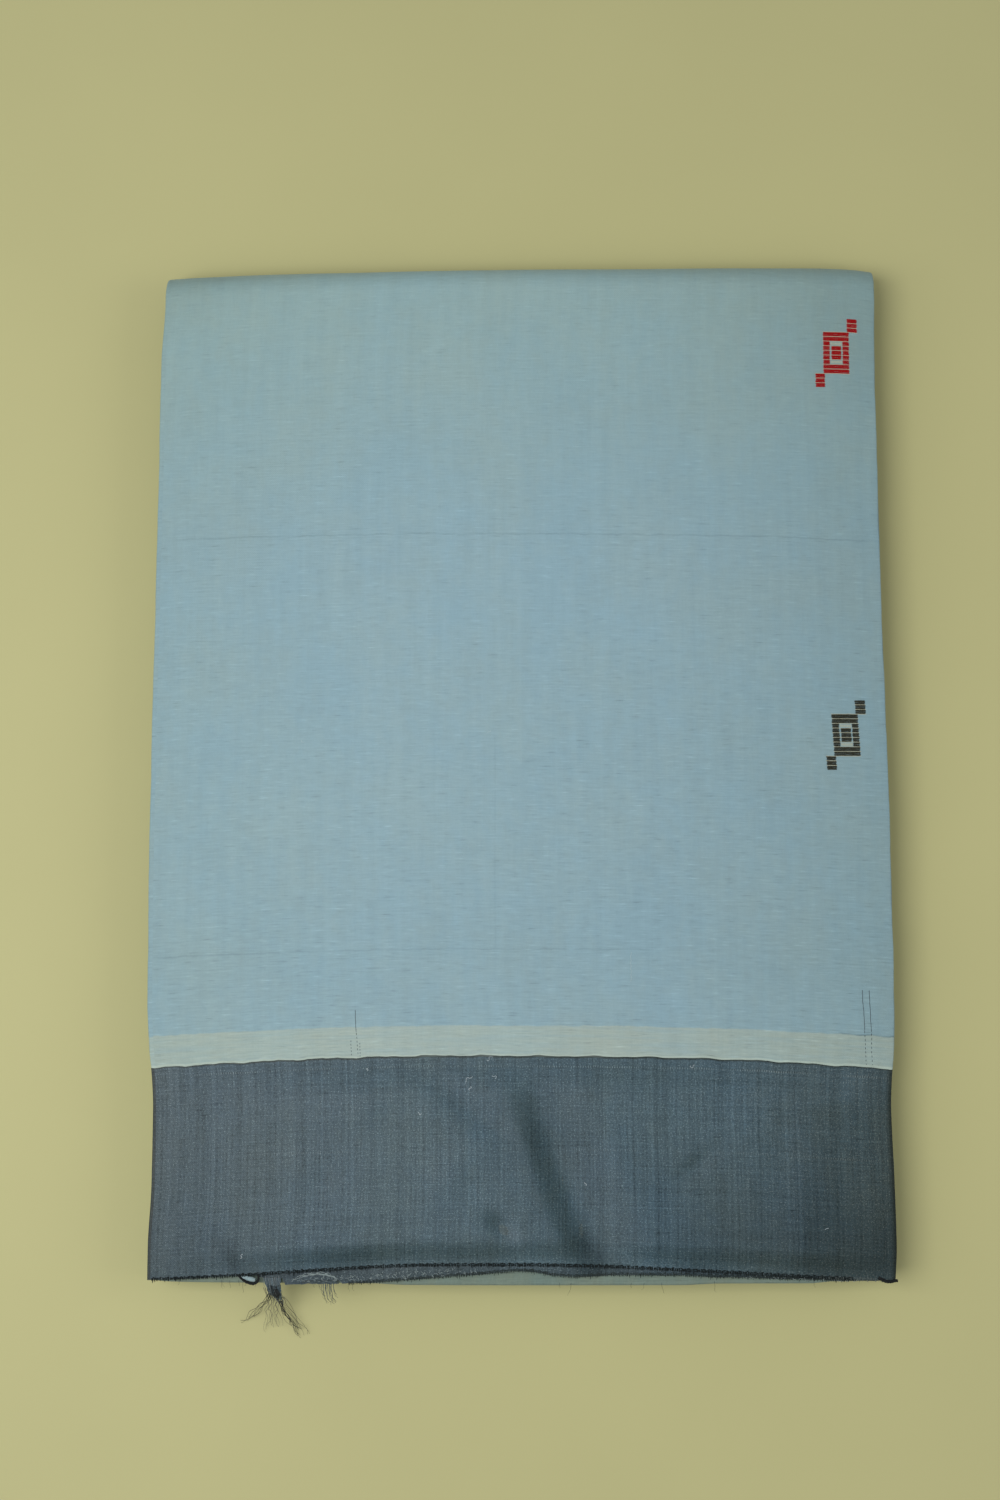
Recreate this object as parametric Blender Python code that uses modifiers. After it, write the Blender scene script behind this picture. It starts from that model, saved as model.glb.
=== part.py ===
"""A light-blue handloom cotton sari with a slate end, folded flat into a bundle.

The cloth is folded in four across its width, and the strip that this gives is
folded in half four times along its length, the far end going under each time.
The bundle lies flat: its head fold is at +Y, its cut ends and thread tuft are
at -Y, and +Z is up. Everything is first laid out straight in the bundle's own
frame, with its middle at the origin, then settled to the uneven outline and
the sagging sides that a real pile of cloth has.

Units are metres.
"""

import math

import bmesh
import bpy
import numpy as np
from mathutils import Vector

MM = 0.001

# The cloth, and how often it is folded
CLOTH_WIDTH = 1.168
PLIES_ACROSS = 4
HALVINGS = 4
STRIP_WIDTH = CLOTH_WIDTH / PLIES_ACROSS
STRIPS = 2**HALVINGS

# One strip of four plies, and the space that parts it from the next one
WALL = 1.05 * MM
GAP = 0.3 * MM
PITCH = WALL + GAP
STACK_HEIGHT = (STRIPS - 1) * PITCH + WALL

# Where the bundle's folds reach, from its middle
HEAD = 205.7 * MM
HEAD_CENTRE = HEAD - STACK_HEIGHT / 2
NEST_REACH = {5: -203.4 * MM, 9: -204.4 * MM}
NEST_SLACK = 0.12 * MM
FOOT_ARC_STEPS = 6
HEAD_ARC_STEPS = 10

# Hidden cuts between the nodes
UNDERSIDE_SEAM = HEAD_CENTRE - 6 * MM
UNDER_FOLD_BACK = -160 * MM
LOWER_PLY_BACK = -128 * MM

# The block that fills the hidden layers stops short of every edge
CORE_SIDE_INSET = 7 * MM
CORE_FOOT = -188 * MM
CORE_STEP = 2 * MM
CORE_LINE_OFFSET = 3 * MM

# The outline seen from above: along, left edge, right edge
OUTLINE = np.array([
    (205.7, -144.3, 145.2),
    (188.0, -144.9, 144.8),
    (170.0, -146.0, 144.6),
    (107.0, -146.6, 145.0),
    (46.0, -147.4, 145.8),
    (0.0, -148.0, 146.9),
    (-50.0, -148.3, 147.4),
    (-94.0, -148.1, 147.6),
    (-115.0, -146.9, 147.1),
    (-124.0, -145.8, 146.1),
    (-136.0, -145.2, 145.5),
    (-165.0, -145.4, 146.3),
    (-190.0, -146.6, 146.7),
    (-204.0, -146.7, 146.0),
]) * MM

# The head fold runs out of square at its left end: across, how far it is drawn back
HEAD_LINE = np.array([
    (-146.0, 4.2),
    (-130.0, 3.4),
    (-94.0, 2.1),
    (-36.0, 0.8),
    (5.0, 0.2),
    (80.0, 0.0),
    (120.0, 0.0),
    (131.0, 0.1),
    (139.0, 0.5),
    (146.0, 1.3),
]) * MM
HEAD_LINE_REACH = 120 * MM

# The join of the blue and slate weaves: across, along
JOIN_LINE = np.array([
    (-148.0, -120.5),
    (-123.0, -118.8),
    (-76.0, -116.6),
    (-28.0, -115.5),
    (15.0, -115.8),
    (50.0, -116.3),
    (90.0, -117.6),
    (121.0, -119.6),
    (148.0, -121.4),
]) * MM

# The cut edge of the upper slate ply: across, along
UPPER_CUT = np.array([
    (-148.0, -202.3),
    (-110.0, -200.4),
    (-75.0, -198.2),
    (-35.0, -196.5),
    (0.0, -196.5),
    (30.0, -197.2),
    (70.0, -199.0),
    (105.0, -201.0),
    (130.0, -202.4),
    (148.0, -203.5),
]) * MM

# The cut edge of the lower slate ply, let in where the tuft and the short threads are: across, along
LOWER_CUT = np.array([
    (-148.0, -199.3),
    (-103.9, -199.3),
    (-102.4, -201.3),
    (-93.4, -201.3),
    (-92.4, -204.3),
    (-86.0, -204.2),
    (-85.2, -202.5),
    (-71.0, -202.4),
    (-70.2, -203.9),
    (-45.0, -202.2),
    (-32.0, -201.2),
    (-14.0, -199.8),
    (-2.0, -198.8),
    (4.0, -199.0),
    (12.0, -200.6),
    (20.0, -201.2),
    (36.0, -200.6),
    (62.0, -200.6),
    (72.0, -201.2),
    (90.0, -201.6),
    (120.0, -202.7),
    (136.0, -203.4),
    (148.0, -202.4),
]) * MM

# The pale-blue fold that shows below the slate: across, along
UNDER_LINE = np.array([
    (-148.0, -202.2),
    (-138.0, -203.4),
    (-118.0, -203.8),
    (-60.0, -204.2),
    (-45.0, -204.9),
    (0.0, -205.15),
    (62.0, -205.2),
    (78.0, -204.6),
    (113.0, -204.6),
    (121.0, -203.9),
    (137.0, -203.7),
    (148.0, -202.0),
]) * MM

# How the pile sags towards its sides: from, to, drop of the top at the far end
SAGS_ACROSS = np.array([
    (106.0, 147.0, 2.3),
    (-132.0, -148.0, 0.9),
]) * MM
SAG_FOOT = np.array([-176.0, -205.0, 0.7]) * MM

# The two slate plies lie loosely, lifted off the pile except along a soft diagonal trough
SLATE_LIFT = 1.7 * MM
LIFT_FROM_JOIN = 16 * MM
LIFT_FROM_SIDE = 26 * MM
LIFT_FROM_CUT = 13 * MM
LIFT_LEFT_AT_CUT = 0.45
# The trough drops quickly on its left and rises slowly on its right
TROUGH_LEFT = 11 * MM
TROUGH_RIGHT = 26 * MM
# The trough's bottom: along, across, share of the lift that it takes away
TROUGH = np.array([
    (-118.0, 6.0, 0.2),
    (-130.0, 9.0, 0.5),
    (-142.0, 12.5, 0.75),
    (-152.0, 16.7, 1.0),
    (-172.0, 23.0, 0.85),
    (-190.0, 29.8, 1.0),
    (-203.0, 37.0, 1.0),
]) * (MM, MM, 1)
# Where the cut edge rolls down a little: across, share of the lift that it takes away
CUT_ROLL = np.array([
    (-114.0, 0.0),
    (-94.0, 0.85),
    (-40.0, 0.85),
    (-12.0, 0.1),
    (44.0, 0.1),
    (68.0, 0.6),
    (148.0, 0.85),
]) * (MM, 1)

# The tuft: a twisted tab of torn cloth with a spray of threads
TAB_CENTRE = -97.9 * MM
TAB_WIDTH = 6.8 * MM
TAB_END_WIDTH = 3.9 * MM
TAB_TWIST = math.radians(24)
# The tab's middle line: along, height, drift to the right
TAB_LINE = np.array([
    (-201.6, 19.42, 0.0),
    (-203.4, 19.42, 0.1),
    (-205.2, 19.30, 0.3),
    (-206.9, 18.55, 0.5),
    (-208.3, 17.10, 0.7),
    (-209.3, 15.20, 0.9),
    (-209.9, 13.10, 1.0),
]) * MM
# The sprays: pairs of threads, where they bend (across, along, height), first tip and last tip (across, along)
TUFT_SPRAYS = np.array([
    (2, -104.1, -215.2, 3.2, -111.5, -222.6, -108.9, -221.4),
    (2, -99.6, -215.6, 2.6, -101.4, -224.6, -97.4, -222.9),
    (4, -96.0, -216.8, 2.8, -92.4, -228.0, -85.4, -227.6),
])
PAIR_APART = 0.5 * MM
# How far one thread of a pair lies from the other at the bend
PAIR_OFFSET = np.array([0.0, -0.40, 0.45]) * MM
TIP_SWAY = 1.1
THREAD_RADIUS = 0.19 * MM
THREAD_STEPS = 6
TIP_HEIGHT = 0.5 * MM

# The short threads below the frayed stretch, and the narrow strip that holds them
STRIP_LEFT = -84.7 * MM
STRIP_RIGHT = -71.5 * MM
STRIP_BACK = -202.85 * MM
STRIP_FRONT = -204.5 * MM
SHORT_THREADS = 7
SHORT_FIRST = -80.6 * MM
SHORT_LAST = -73.4 * MM
SHORT_REACH = np.array([7.4, 9.8, 8.6, 10.2, 7.2, 9.2, 6.4]) * MM
SHORT_DROP = 8.5 * MM

# The small rolled end of blue cloth: the ends of its axis, and its radii
ROLL_FROM = np.array([-109.8, -201.95, 20.05]) * MM
ROLL_TO = np.array([-104.2, -203.1, 20.1]) * MM
ROLL_WALL = 1.0 * MM
ROLL_RADII = np.array([0.62, 0.80, 0.84, 0.72]) * MM
ROLL_START = math.radians(-60)
ROLL_SWEEP = math.radians(290)

SLATE = (0.093, 0.122, 0.138)
BLUE = (0.262, 0.381, 0.418)
PALE_BLUE = (0.290, 0.400, 0.400)
INNER_BLUE = (0.230, 0.330, 0.360)
THREAD_GREY = (0.090, 0.100, 0.110)
COTTON_ROUGHNESS = 0.85

# Lines across the strip on which a layer has its vertices, inside its two edges, and along it
CORE_LINES = np.array([-136.0, -60.0, 30.0, 110.0, 128.0]) * MM
CORE_STATIONS = np.array([150.0, 0.0, -114.0, -140.0, -180.0]) * MM
TOP_LINES = np.array([-139.0, -132.0, -110.0, -76.0, -40.0, 0.0, 40.0, 76.0, 106.0, 120.0, 133.0, 140.0]) * MM


def clear_scene():
    for obj in list(bpy.data.objects):
        bpy.data.objects.remove(obj, do_unlink=True)


def make_collection(name):
    collection = bpy.data.collections.new(name)
    bpy.context.scene.collection.children.link(collection)
    return collection


def cotton(name, color):
    """A matt Principled BSDF in one plain colour."""
    material = bpy.data.materials.new(name)
    material.use_nodes = True
    shader = material.node_tree.nodes["Principled BSDF"]
    shader.inputs["Base Color"].default_value = (*color, 1.0)
    shader.inputs["Roughness"].default_value = COTTON_ROUGHNESS
    shader.inputs["Metallic"].default_value = 0.0
    return material


def smooth_step(t):
    t = np.clip(t, 0.0, 1.0)
    return t * t * (3 - 2 * t)


def line_at(table, across):
    return np.interp(across, table[:, 0], table[:, 1])


def level(slot):
    """Height of a strip's middle, counting slots from 1 at the top of the pile."""
    return WALL / 2 + (STRIPS - slot) * PITCH


def folded_order(times):
    """Which stretch of the strip lies in each slot, top to bottom, after folding it in half so often."""
    piles = [[stretch] for stretch in range(2**times)]
    for _ in range(times):
        half = len(piles) // 2
        piles = [near + far[::-1] for near, far in zip(piles[:half], piles[::-1])]
    return piles[0]


ORDER = folded_order(HALVINGS)
SLOT_OF = {stretch: ORDER.index(stretch) + 1 for stretch in range(STRIPS)}


def turn_after(stretch):
    """Centre and radius of the fold that leads from this stretch to the next, and its end of the bundle.

    The head's folds share one centre. At the foot each nest of folds shares the centre of its outermost one,
    and the folds inside it are drawn back a little.
    """
    slots = sorted((SLOT_OF[stretch], SLOT_OF[stretch + 1]))
    radius = (slots[1] - slots[0]) / 2 * PITCH
    height = (level(slots[0]) + level(slots[1])) / 2
    if stretch % 2 == 0:
        inner = slots[0] - 1
        return np.array([HEAD_CENTRE - inner * NEST_SLACK, height]), radius, 1
    outermost = max(slot for slot in NEST_REACH if slot <= slots[0])
    spread = {5: 4, 9: 8}[outermost]
    outer_radius = (spread - 1) / 2 * PITCH
    centre = NEST_REACH[outermost] + outer_radius + WALL / 2
    return np.array([centre + (slots[0] - outermost) * NEST_SLACK, height]), radius, -1


def arc(centre, radius, end, upwards, steps):
    """Points of a half turn in the along-height plane, without its two ends."""
    angles = np.linspace(-math.pi / 2, math.pi / 2, steps + 1)[1:-1]
    if not upwards:
        angles = angles[::-1]
    return [(centre[0] + end * radius * math.cos(a), centre[1] + radius * math.sin(a)) for a in angles]


def straight(start, stop, height, lines):
    """Points from start to stop at one height, with one on each line between them."""
    between = [y for y in lines if min(start, stop) + MM < y < max(start, stop) - MM]
    ordered = sorted(between, reverse=bool(start > stop))
    return [(y, height) for y in (start, *ordered, stop)]


def walk(first, start, last, stop, lines):
    """Follows the folded strip from a place on one stretch to a place on a later one: (along, height) rows."""
    rows = []
    for stretch in range(first, last + 1):
        height = level(SLOT_OF[stretch])
        begins = start if stretch == first else turn_after(stretch - 1)[0][0]
        ends = stop if stretch == last else turn_after(stretch)[0][0]
        rows += straight(begins, ends, height, lines)
        if stretch < last:
            centre, radius, end = turn_after(stretch)
            upwards = level(SLOT_OF[stretch + 1]) > height
            steps = HEAD_ARC_STEPS if end > 0 else FOOT_ARC_STEPS
            rows += arc(centre, radius, end, upwards, steps)
    return np.array(rows)


def edge_unevenness(rows, seed):
    """How far each row's left and right edges are drawn in, steady along a strip and blended round its folds."""
    rng = np.random.default_rng(seed)
    slots = np.arange(STRIPS, 0, -1)
    heights = level(slots)
    left = np.interp(rows[:, 1], heights, rng.uniform(-0.5, 1.1, STRIPS))
    right = np.interp(rows[:, 1], heights, rng.uniform(-0.5, 1.3, STRIPS))
    return left * MM, right * MM


def strip_grid(rows, lines, left=0.0, right=0.0):
    """Lays points across the strip at each (along, height) row: shape (rows, columns, 3)."""
    half = STRIP_WIDTH / 2
    across = np.tile(lines, (len(rows), 1))
    edges_left = np.full(len(rows), -half) + left
    edges_right = np.full(len(rows), half) - right
    across = np.column_stack([edges_left, across, edges_right])
    along = np.broadcast_to(rows[:, :1], across.shape)
    height = np.broadcast_to(rows[:, 1:2], across.shape)
    return np.stack([across, along, height], axis=2)


def settle(points):
    """Moves points of the straight layout to where the settled pile has them, keeping every layer in order.

    The sag takes the same share of every height above the bottom strip's middle, so the underside stays flat.
    """
    across, along, height = np.moveaxis(points, -1, 0)
    stations = OUTLINE[::-1]
    left = np.interp(along, stations[:, 0], stations[:, 1])
    right = np.interp(along, stations[:, 0], stations[:, 2])
    share = across / STRIP_WIDTH + 0.5
    across = left + share * (right - left)
    headward = smooth_step((along - (HEAD - HEAD_LINE_REACH)) / HEAD_LINE_REACH)
    along = along - line_at(HEAD_LINE, across) * headward
    drop = np.zeros_like(height)
    for start, end, most in SAGS_ACROSS:
        drop = drop + most * np.clip((across - start) / (end - start), 0, None) ** 2
    start, end, most = SAG_FOOT
    drop = drop + most * np.clip((along - start) / (end - start), 0, 1.1) ** 2
    height = level(STRIPS) + (height - level(STRIPS)) * (1 - drop / STACK_HEIGHT)
    return np.stack([across, along, height], axis=-1)


def slate_lift(across, along):
    """How far the loose slate plies stand off the pile."""
    from_join = smooth_step((line_at(JOIN_LINE, across) - along) / LIFT_FROM_JOIN)
    from_side = smooth_step((STRIP_WIDTH / 2 - np.abs(across)) / LIFT_FROM_SIDE)
    near_cut = 1 - smooth_step((along - line_at(UPPER_CUT, across)) / LIFT_FROM_CUT)
    rolled = np.interp(across, CUT_ROLL[:, 0], CUT_ROLL[:, 1])
    at_cut = 1 - near_cut * np.maximum(1 - LIFT_LEFT_AT_CUT, rolled)
    stations = TROUGH[::-1]
    middle = np.interp(along, stations[:, 0], stations[:, 1])
    depth = np.interp(along, stations[:, 0], stations[:, 2])
    off = across - middle
    bank = np.where(off < 0, -off / TROUGH_LEFT, off / TROUGH_RIGHT)
    trough = depth * (1 - smooth_step(bank))
    return SLATE_LIFT * from_join * from_side * at_cut * (1 - trough)


def sheet_mesh(name, grid):
    """An open sheet of quads through a grid of points, its faces turned to the left of its rows."""
    rows, columns = grid.shape[:2]
    index = np.arange(rows * columns).reshape(rows, columns)
    quads = np.stack([index[:-1, :-1], index[:-1, 1:], index[1:, 1:], index[1:, :-1]], axis=-1)
    mesh = bpy.data.meshes.new(name)
    mesh.from_pydata(grid.reshape(-1, 3).tolist(), [], quads.reshape(-1, 4).tolist())
    return mesh


def cloth_wall(obj, wall, rounding):
    """Gives an open sheet its thickness, with its rim edges eased."""
    solidify = obj.modifiers.new("Wall", "SOLIDIFY")
    solidify.thickness = wall
    solidify.offset = 0.0
    solidify.use_even_offset = True
    bevel = obj.modifiers.new("Soft rim", "BEVEL")
    bevel.width = rounding
    bevel.segments = 1
    bevel.limit_method = "ANGLE"
    bevel.angle_limit = math.radians(62)
    bevel.use_clamp_overlap = False


def add_sheet(name, grid, collection, material, wall=WALL, rounding=0.3 * MM):
    obj = bpy.data.objects.new(name, sheet_mesh(name, grid))
    collection.objects.link(obj)
    obj.data.materials.append(material)
    cloth_wall(obj, wall, rounding)
    return obj


def add_top_stretch(parts):
    """The blue face of the bundle, from the join with the slate round the head fold to a seam underneath."""
    along_lines = [y for y in OUTLINE[:, 0] if y > -110 * MM] + [HEAD_CENTRE - 14 * MM]
    start = JOIN_LINE[:, 1].max()
    rows = walk(0, start, 1, UNDERSIDE_SEAM, along_lines)
    grid = strip_grid(rows, TOP_LINES)
    grid[0, :, 1] = line_at(JOIN_LINE, grid[0, :, 0]) + GAP / 2
    return add_sheet("top_stretch", settle(grid), parts, cotton("blue cotton", BLUE))


def ply_grid(slot, cut, back, across_lines, share_lines):
    """A slate ply from its cut edge to its back line, with rows at shares of the way between them."""
    rows = np.array([(share, level(slot)) for share in share_lines])
    grid = strip_grid(rows, across_lines)
    across = grid[..., 0]
    share = grid[..., 1]
    grid[..., 1] = line_at(cut, across) * (1 - share) + back(across) * share
    lift = slate_lift(across, grid[..., 1])
    grid = settle(grid)
    grid[..., 2] += lift
    return grid


def trough_lines(extra):
    fine = np.arange(-12, 42, 5.5) * MM
    coarse = np.array([-139, -132, -114, -94, -76, -58, -40, -26, 52, 68, 86, 106, 120, 133, 140]) * MM
    return np.unique(np.concatenate([fine, coarse, extra]))


def add_slate_end_upper(parts):
    """The slate end's upper plies, with the raw cut edge and the diagonal trough."""
    shares = (0, 0.045, 0.1, 0.17, 0.26, 0.36, 0.47, 0.58, 0.69, 0.8, 0.9, 1)
    grid = ply_grid(1, UPPER_CUT, lambda x: line_at(JOIN_LINE, x) - GAP / 2, trough_lines([]), shares)
    return add_sheet("slate_end_upper", grid, parts, cotton("slate cotton", SLATE))


def add_slate_end_lower(parts):
    """The slate end's lower plies, which show past the upper ones along the foot."""
    shares = (0, 0.041, 0.09, 0.151, 0.229, 0.329, 0.439, 0.561, 0.683, 0.805, 0.927, 1)
    lines = trough_lines(LOWER_CUT[1:-1, 0])
    keep = np.concatenate([[True], np.diff(lines) > 0.6 * MM])
    grid = ply_grid(2, LOWER_CUT, lambda x: LOWER_PLY_BACK - GAP / 2 + 0 * x, lines[keep], shares)
    return add_sheet("slate_end_lower", grid, parts, cotton("slate cotton, lower ply", SLATE))


def add_under_fold(parts):
    """The pale-blue fold that shows in a thin line below the slate."""
    centre = np.array([0.0, (level(3) + level(4)) / 2])
    radius = PITCH / 2
    legs = (UNDER_FOLD_BACK - GAP / 2, -176 * MM, -188 * MM)
    lower = [(y, level(4)) for y in legs]
    upper = [(y, level(3)) for y in legs[::-1]]
    bend = arc(centre, radius, -1, True, 8)
    rows = np.array([*lower, (0.0, level(4)), *bend, (0.0, level(3)), *upper])
    grid = strip_grid(rows, TOP_LINES)
    turned = slice(len(lower), len(lower) + len(bend) + 2)
    fold_centre = line_at(UNDER_LINE, grid[0, :, 0]) + radius + WALL / 2
    grid[turned, :, 1] += fold_centre
    return add_sheet("under_fold", settle(grid), parts, cotton("pale blue cotton", PALE_BLUE))


def hidden_block(helpers):
    """The stepped block inside the hidden layers: a profile along the bundle, pushed out across it."""
    back = HEAD_CENTRE - 8 * NEST_SLACK - CORE_STEP
    profile = [
        (CORE_FOOT, level(STRIPS)),
        (UNDERSIDE_SEAM - CORE_STEP, level(STRIPS)),
        (UNDERSIDE_SEAM - CORE_STEP, level(STRIPS - 1)),
        (back, level(STRIPS - 1)),
        (back, level(2)),
        (LOWER_PLY_BACK + CORE_STEP, level(2)),
        (LOWER_PLY_BACK + CORE_STEP, level(3)),
        (UNDER_FOLD_BACK + CORE_STEP, level(3)),
        (UNDER_FOLD_BACK + CORE_STEP, level(5)),
        (CORE_FOOT, level(5)),
    ]
    side = STRIP_WIDTH / 2 - CORE_SIDE_INSET
    bm = bmesh.new()
    face = bm.faces.new([bm.verts.new((-side, y, z)) for y, z in profile])
    pushed = bmesh.ops.extrude_face_region(bm, geom=[face])["geom"]
    moved = [v for v in pushed if isinstance(v, bmesh.types.BMVert)]
    bmesh.ops.translate(bm, verts=moved, vec=(2 * side, 0, 0))
    cuts = [((x + CORE_LINE_OFFSET, 0, 0), (1, 0, 0)) for x in CORE_LINES]
    cuts += [((0, y + CORE_LINE_OFFSET, 0), (0, 1, 0)) for y in CORE_STATIONS]
    for place, normal in cuts:
        everything = bm.verts[:] + bm.edges[:] + bm.faces[:]
        bmesh.ops.bisect_plane(bm, geom=everything, plane_co=place, plane_no=normal)
    bmesh.ops.recalc_face_normals(bm, faces=bm.faces)
    for vert in bm.verts:
        vert.co = settle(np.array(vert.co))
    mesh = bpy.data.meshes.new("hidden block")
    bm.to_mesh(mesh)
    bm.free()
    obj = bpy.data.objects.new("hidden_block", mesh)
    helpers.objects.link(obj)
    obj.hide_render = True
    obj.display_type = "WIRE"
    return obj


def hidden_run(name, first, start, last, stop, material, collection):
    """One run of the folded strip through the hidden layers."""
    rows = walk(first, start, last, stop, CORE_STATIONS)
    left, right = edge_unevenness(rows, seed=5)
    grid = settle(strip_grid(rows, CORE_LINES, left, right))
    return add_sheet(name, grid, collection, material)


def add_hidden_layers(parts, helpers):
    """The folded strip inside the bundle: its turns show at the edges, and a block fills its middle."""
    material = cotton("blue cotton, inner", INNER_BLUE)
    first_run = hidden_run(
        "hidden_layers", 1, UNDERSIDE_SEAM - GAP, 7, UNDER_FOLD_BACK + GAP / 2, material, parts
    )
    second_run = hidden_run(
        "hidden_second_run", 8, UNDER_FOLD_BACK + GAP / 2, 15, LOWER_PLY_BACK + GAP / 2, material, helpers
    )
    second_run.hide_render = True
    second_run.display_type = "WIRE"
    for other in (hidden_block(helpers), second_run):
        union = first_run.modifiers.new(f"Fuse {other.name}", "BOOLEAN")
        union.operation = "UNION"
        union.solver = "EXACT"
        union.object = other
    return first_run


def tube_mesh(name, paths, radius, sides=3):
    """Tapering threads with a few sides each, one for every path of points, all in one mesh."""
    bm = bmesh.new()
    for path in paths:
        forward = np.gradient(path, axis=0)
        forward /= np.linalg.norm(forward, axis=1, keepdims=True)
        side = np.cross(forward, (0, 0, 1))
        side /= np.linalg.norm(side, axis=1, keepdims=True)
        up = np.cross(side, forward)
        rings = []
        for i, point in enumerate(path):
            thick = radius * (1 - 0.45 * i / (len(path) - 1))
            turns = [2 * math.pi * k / sides for k in range(sides)]
            ring = [point + thick * (math.cos(a) * side[i] + math.sin(a) * up[i]) for a in turns]
            rings.append([bm.verts.new(corner) for corner in ring])
        for near, far in zip(rings[:-1], rings[1:]):
            for k in range(sides):
                j = (k + 1) % sides
                bm.faces.new([near[k], near[j], far[j], far[k]])
        bm.faces.new(rings[0][::-1])
        bm.faces.new(rings[-1])
    bmesh.ops.recalc_face_normals(bm, faces=bm.faces)
    mesh = bpy.data.meshes.new(name)
    bm.to_mesh(mesh)
    bm.free()
    return mesh


def fuse_threads(backing, paths, helpers):
    """Joins the roots of the threads to the piece that holds them."""
    mesh = tube_mesh(f"{backing.name} threads", paths, THREAD_RADIUS)
    threads = bpy.data.objects.new(f"{backing.name}_threads", mesh)
    helpers.objects.link(threads)
    threads.hide_render = True
    threads.display_type = "WIRE"
    union = backing.modifiers.new("Fuse the roots", "BOOLEAN")
    union.operation = "UNION"
    union.solver = "EXACT"
    union.object = threads


def bow(start, control, end, steps):
    """Points of a quadratic curve from start to end, drawn towards its control point."""
    t = np.linspace(0, 1, steps + 1)[:, None]
    return (1 - t) ** 2 * start + 2 * t * (1 - t) * control + t**2 * end


def tuft_paths():
    """The tuft's threads: they leave the tab's end in pairs, bend together and run out just above the floor."""
    end_along, end_height, drift = TAB_LINE[-1]
    before = TAB_LINE[-2]
    heading = np.array([0.0, end_along - before[0], end_height - before[1]])
    heading /= np.linalg.norm(heading)
    across_way = np.array([math.cos(TAB_TWIST), -math.sin(TAB_TWIST), 0.0])
    thick_way = np.cross(across_way, heading)
    centre = np.array([TAB_CENTRE + drift, end_along, end_height])
    all_pairs = int(TUFT_SPRAYS[:, 0].sum())
    paths = []
    for pairs, bend_x, bend_y, bend_z, x0, y0, x1, y1 in TUFT_SPRAYS:
        pairs = int(pairs)
        for i in range(2 * pairs):
            share = i / (2 * pairs - 1)
            sway = TIP_SWAY * math.sin(2.4 * len(paths))
            pair, row = divmod(i, 2)
            sideways = (len(paths) // 2 / (all_pairs - 1) - 0.5) * (TAB_END_WIDTH - 0.9 * MM)
            root = centre + sideways * across_way + (row - 0.5) * PAIR_APART * thick_way - 0.8 * MM * heading
            bend = np.array([bend_x, bend_y, bend_z]) * MM + (0.5 - row) * PAIR_OFFSET
            bend[0] += (pair - (pairs - 1) / 2) * PAIR_APART
            tip = np.array([x0 + (x1 - x0) * share, y0 + (y1 - y0) * share + sway, 0.0]) * MM
            tip[2] = TIP_HEIGHT + 0.22 * MM * (len(paths) % 3)
            paths.append(bow(root, bend, tip, THREAD_STEPS))
    return paths


def add_thread_tuft(parts, helpers):
    """A torn tab of slate cloth, twisted and hanging over the foot, with its warp threads sprayed out."""
    shares = np.linspace(0, 1, len(TAB_LINE))
    widths = TAB_WIDTH + (TAB_END_WIDTH - TAB_WIDTH) * shares
    grid = []
    for (along, height, drift), share, width in zip(TAB_LINE, shares, widths):
        turn = TAB_TWIST * smooth_step(share)
        across = np.linspace(-0.5, 0.5, 4) * width
        hollow = 0.35 * MM * share * np.cos(np.linspace(-1, 1, 4) * math.pi / 2)
        x = TAB_CENTRE + drift + across * math.cos(turn)
        y = along - across * math.sin(turn) - hollow
        z = np.full(4, height)
        grid.append(np.column_stack([x, y, z]))
    tab = add_sheet("thread_tuft", np.array(grid), parts, cotton("slate thread", THREAD_GREY), rounding=0.22 * MM)
    fuse_threads(tab, tuft_paths(), helpers)
    return tab


def short_paths():
    """The short threads: they leave the strip's front and droop without reaching the floor."""
    paths = []
    for across, reach in zip(np.linspace(SHORT_FIRST, SHORT_LAST, SHORT_THREADS), SHORT_REACH):
        root = np.array([across, STRIP_FRONT + 0.5 * MM, level(2)])
        tip = root + np.array([0.12 * reach, -reach, -SHORT_DROP * reach / SHORT_REACH.max()])
        control = root + np.array([0.0, -0.62 * reach, 0.4 * MM])
        paths.append(bow(root, control, tip, THREAD_STEPS))
    return paths


def add_short_threads(parts, helpers):
    """A narrow strip of frayed weft at the lower ply's edge, with a few short threads."""
    across = np.linspace(STRIP_LEFT, STRIP_RIGHT, 7)
    grid = [np.column_stack([across, np.full(7, y), np.full(7, level(2))]) for y in (STRIP_BACK, STRIP_FRONT)]
    strip = add_sheet(
        "short_threads", np.array(grid), parts, cotton("frayed weft", THREAD_GREY), rounding=0.2 * MM
    )
    fuse_threads(strip, short_paths(), helpers)
    return strip


def add_curled_end(parts):
    """A small end of blue cloth, rolled up and lying on the fold beside the tuft."""
    axis = ROLL_TO - ROLL_FROM
    forward = axis / np.linalg.norm(axis)
    side = np.cross(forward, (0, 0, 1))
    side /= np.linalg.norm(side)
    up = np.cross(side, forward)
    angles = ROLL_START + np.linspace(0, 1, 11) * ROLL_SWEEP
    grid = []
    for share, radius in zip(np.linspace(0, 1, len(ROLL_RADII)), ROLL_RADII):
        centre = ROLL_FROM + axis * share
        ring = centre + radius * (np.outer(np.cos(angles), side) + np.outer(np.sin(angles), up))
        grid.append(ring)
    return add_sheet(
        "curled_end", np.array(grid), parts, cotton("pale blue cotton, rolled", PALE_BLUE), ROLL_WALL, 0.15 * MM
    )


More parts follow.
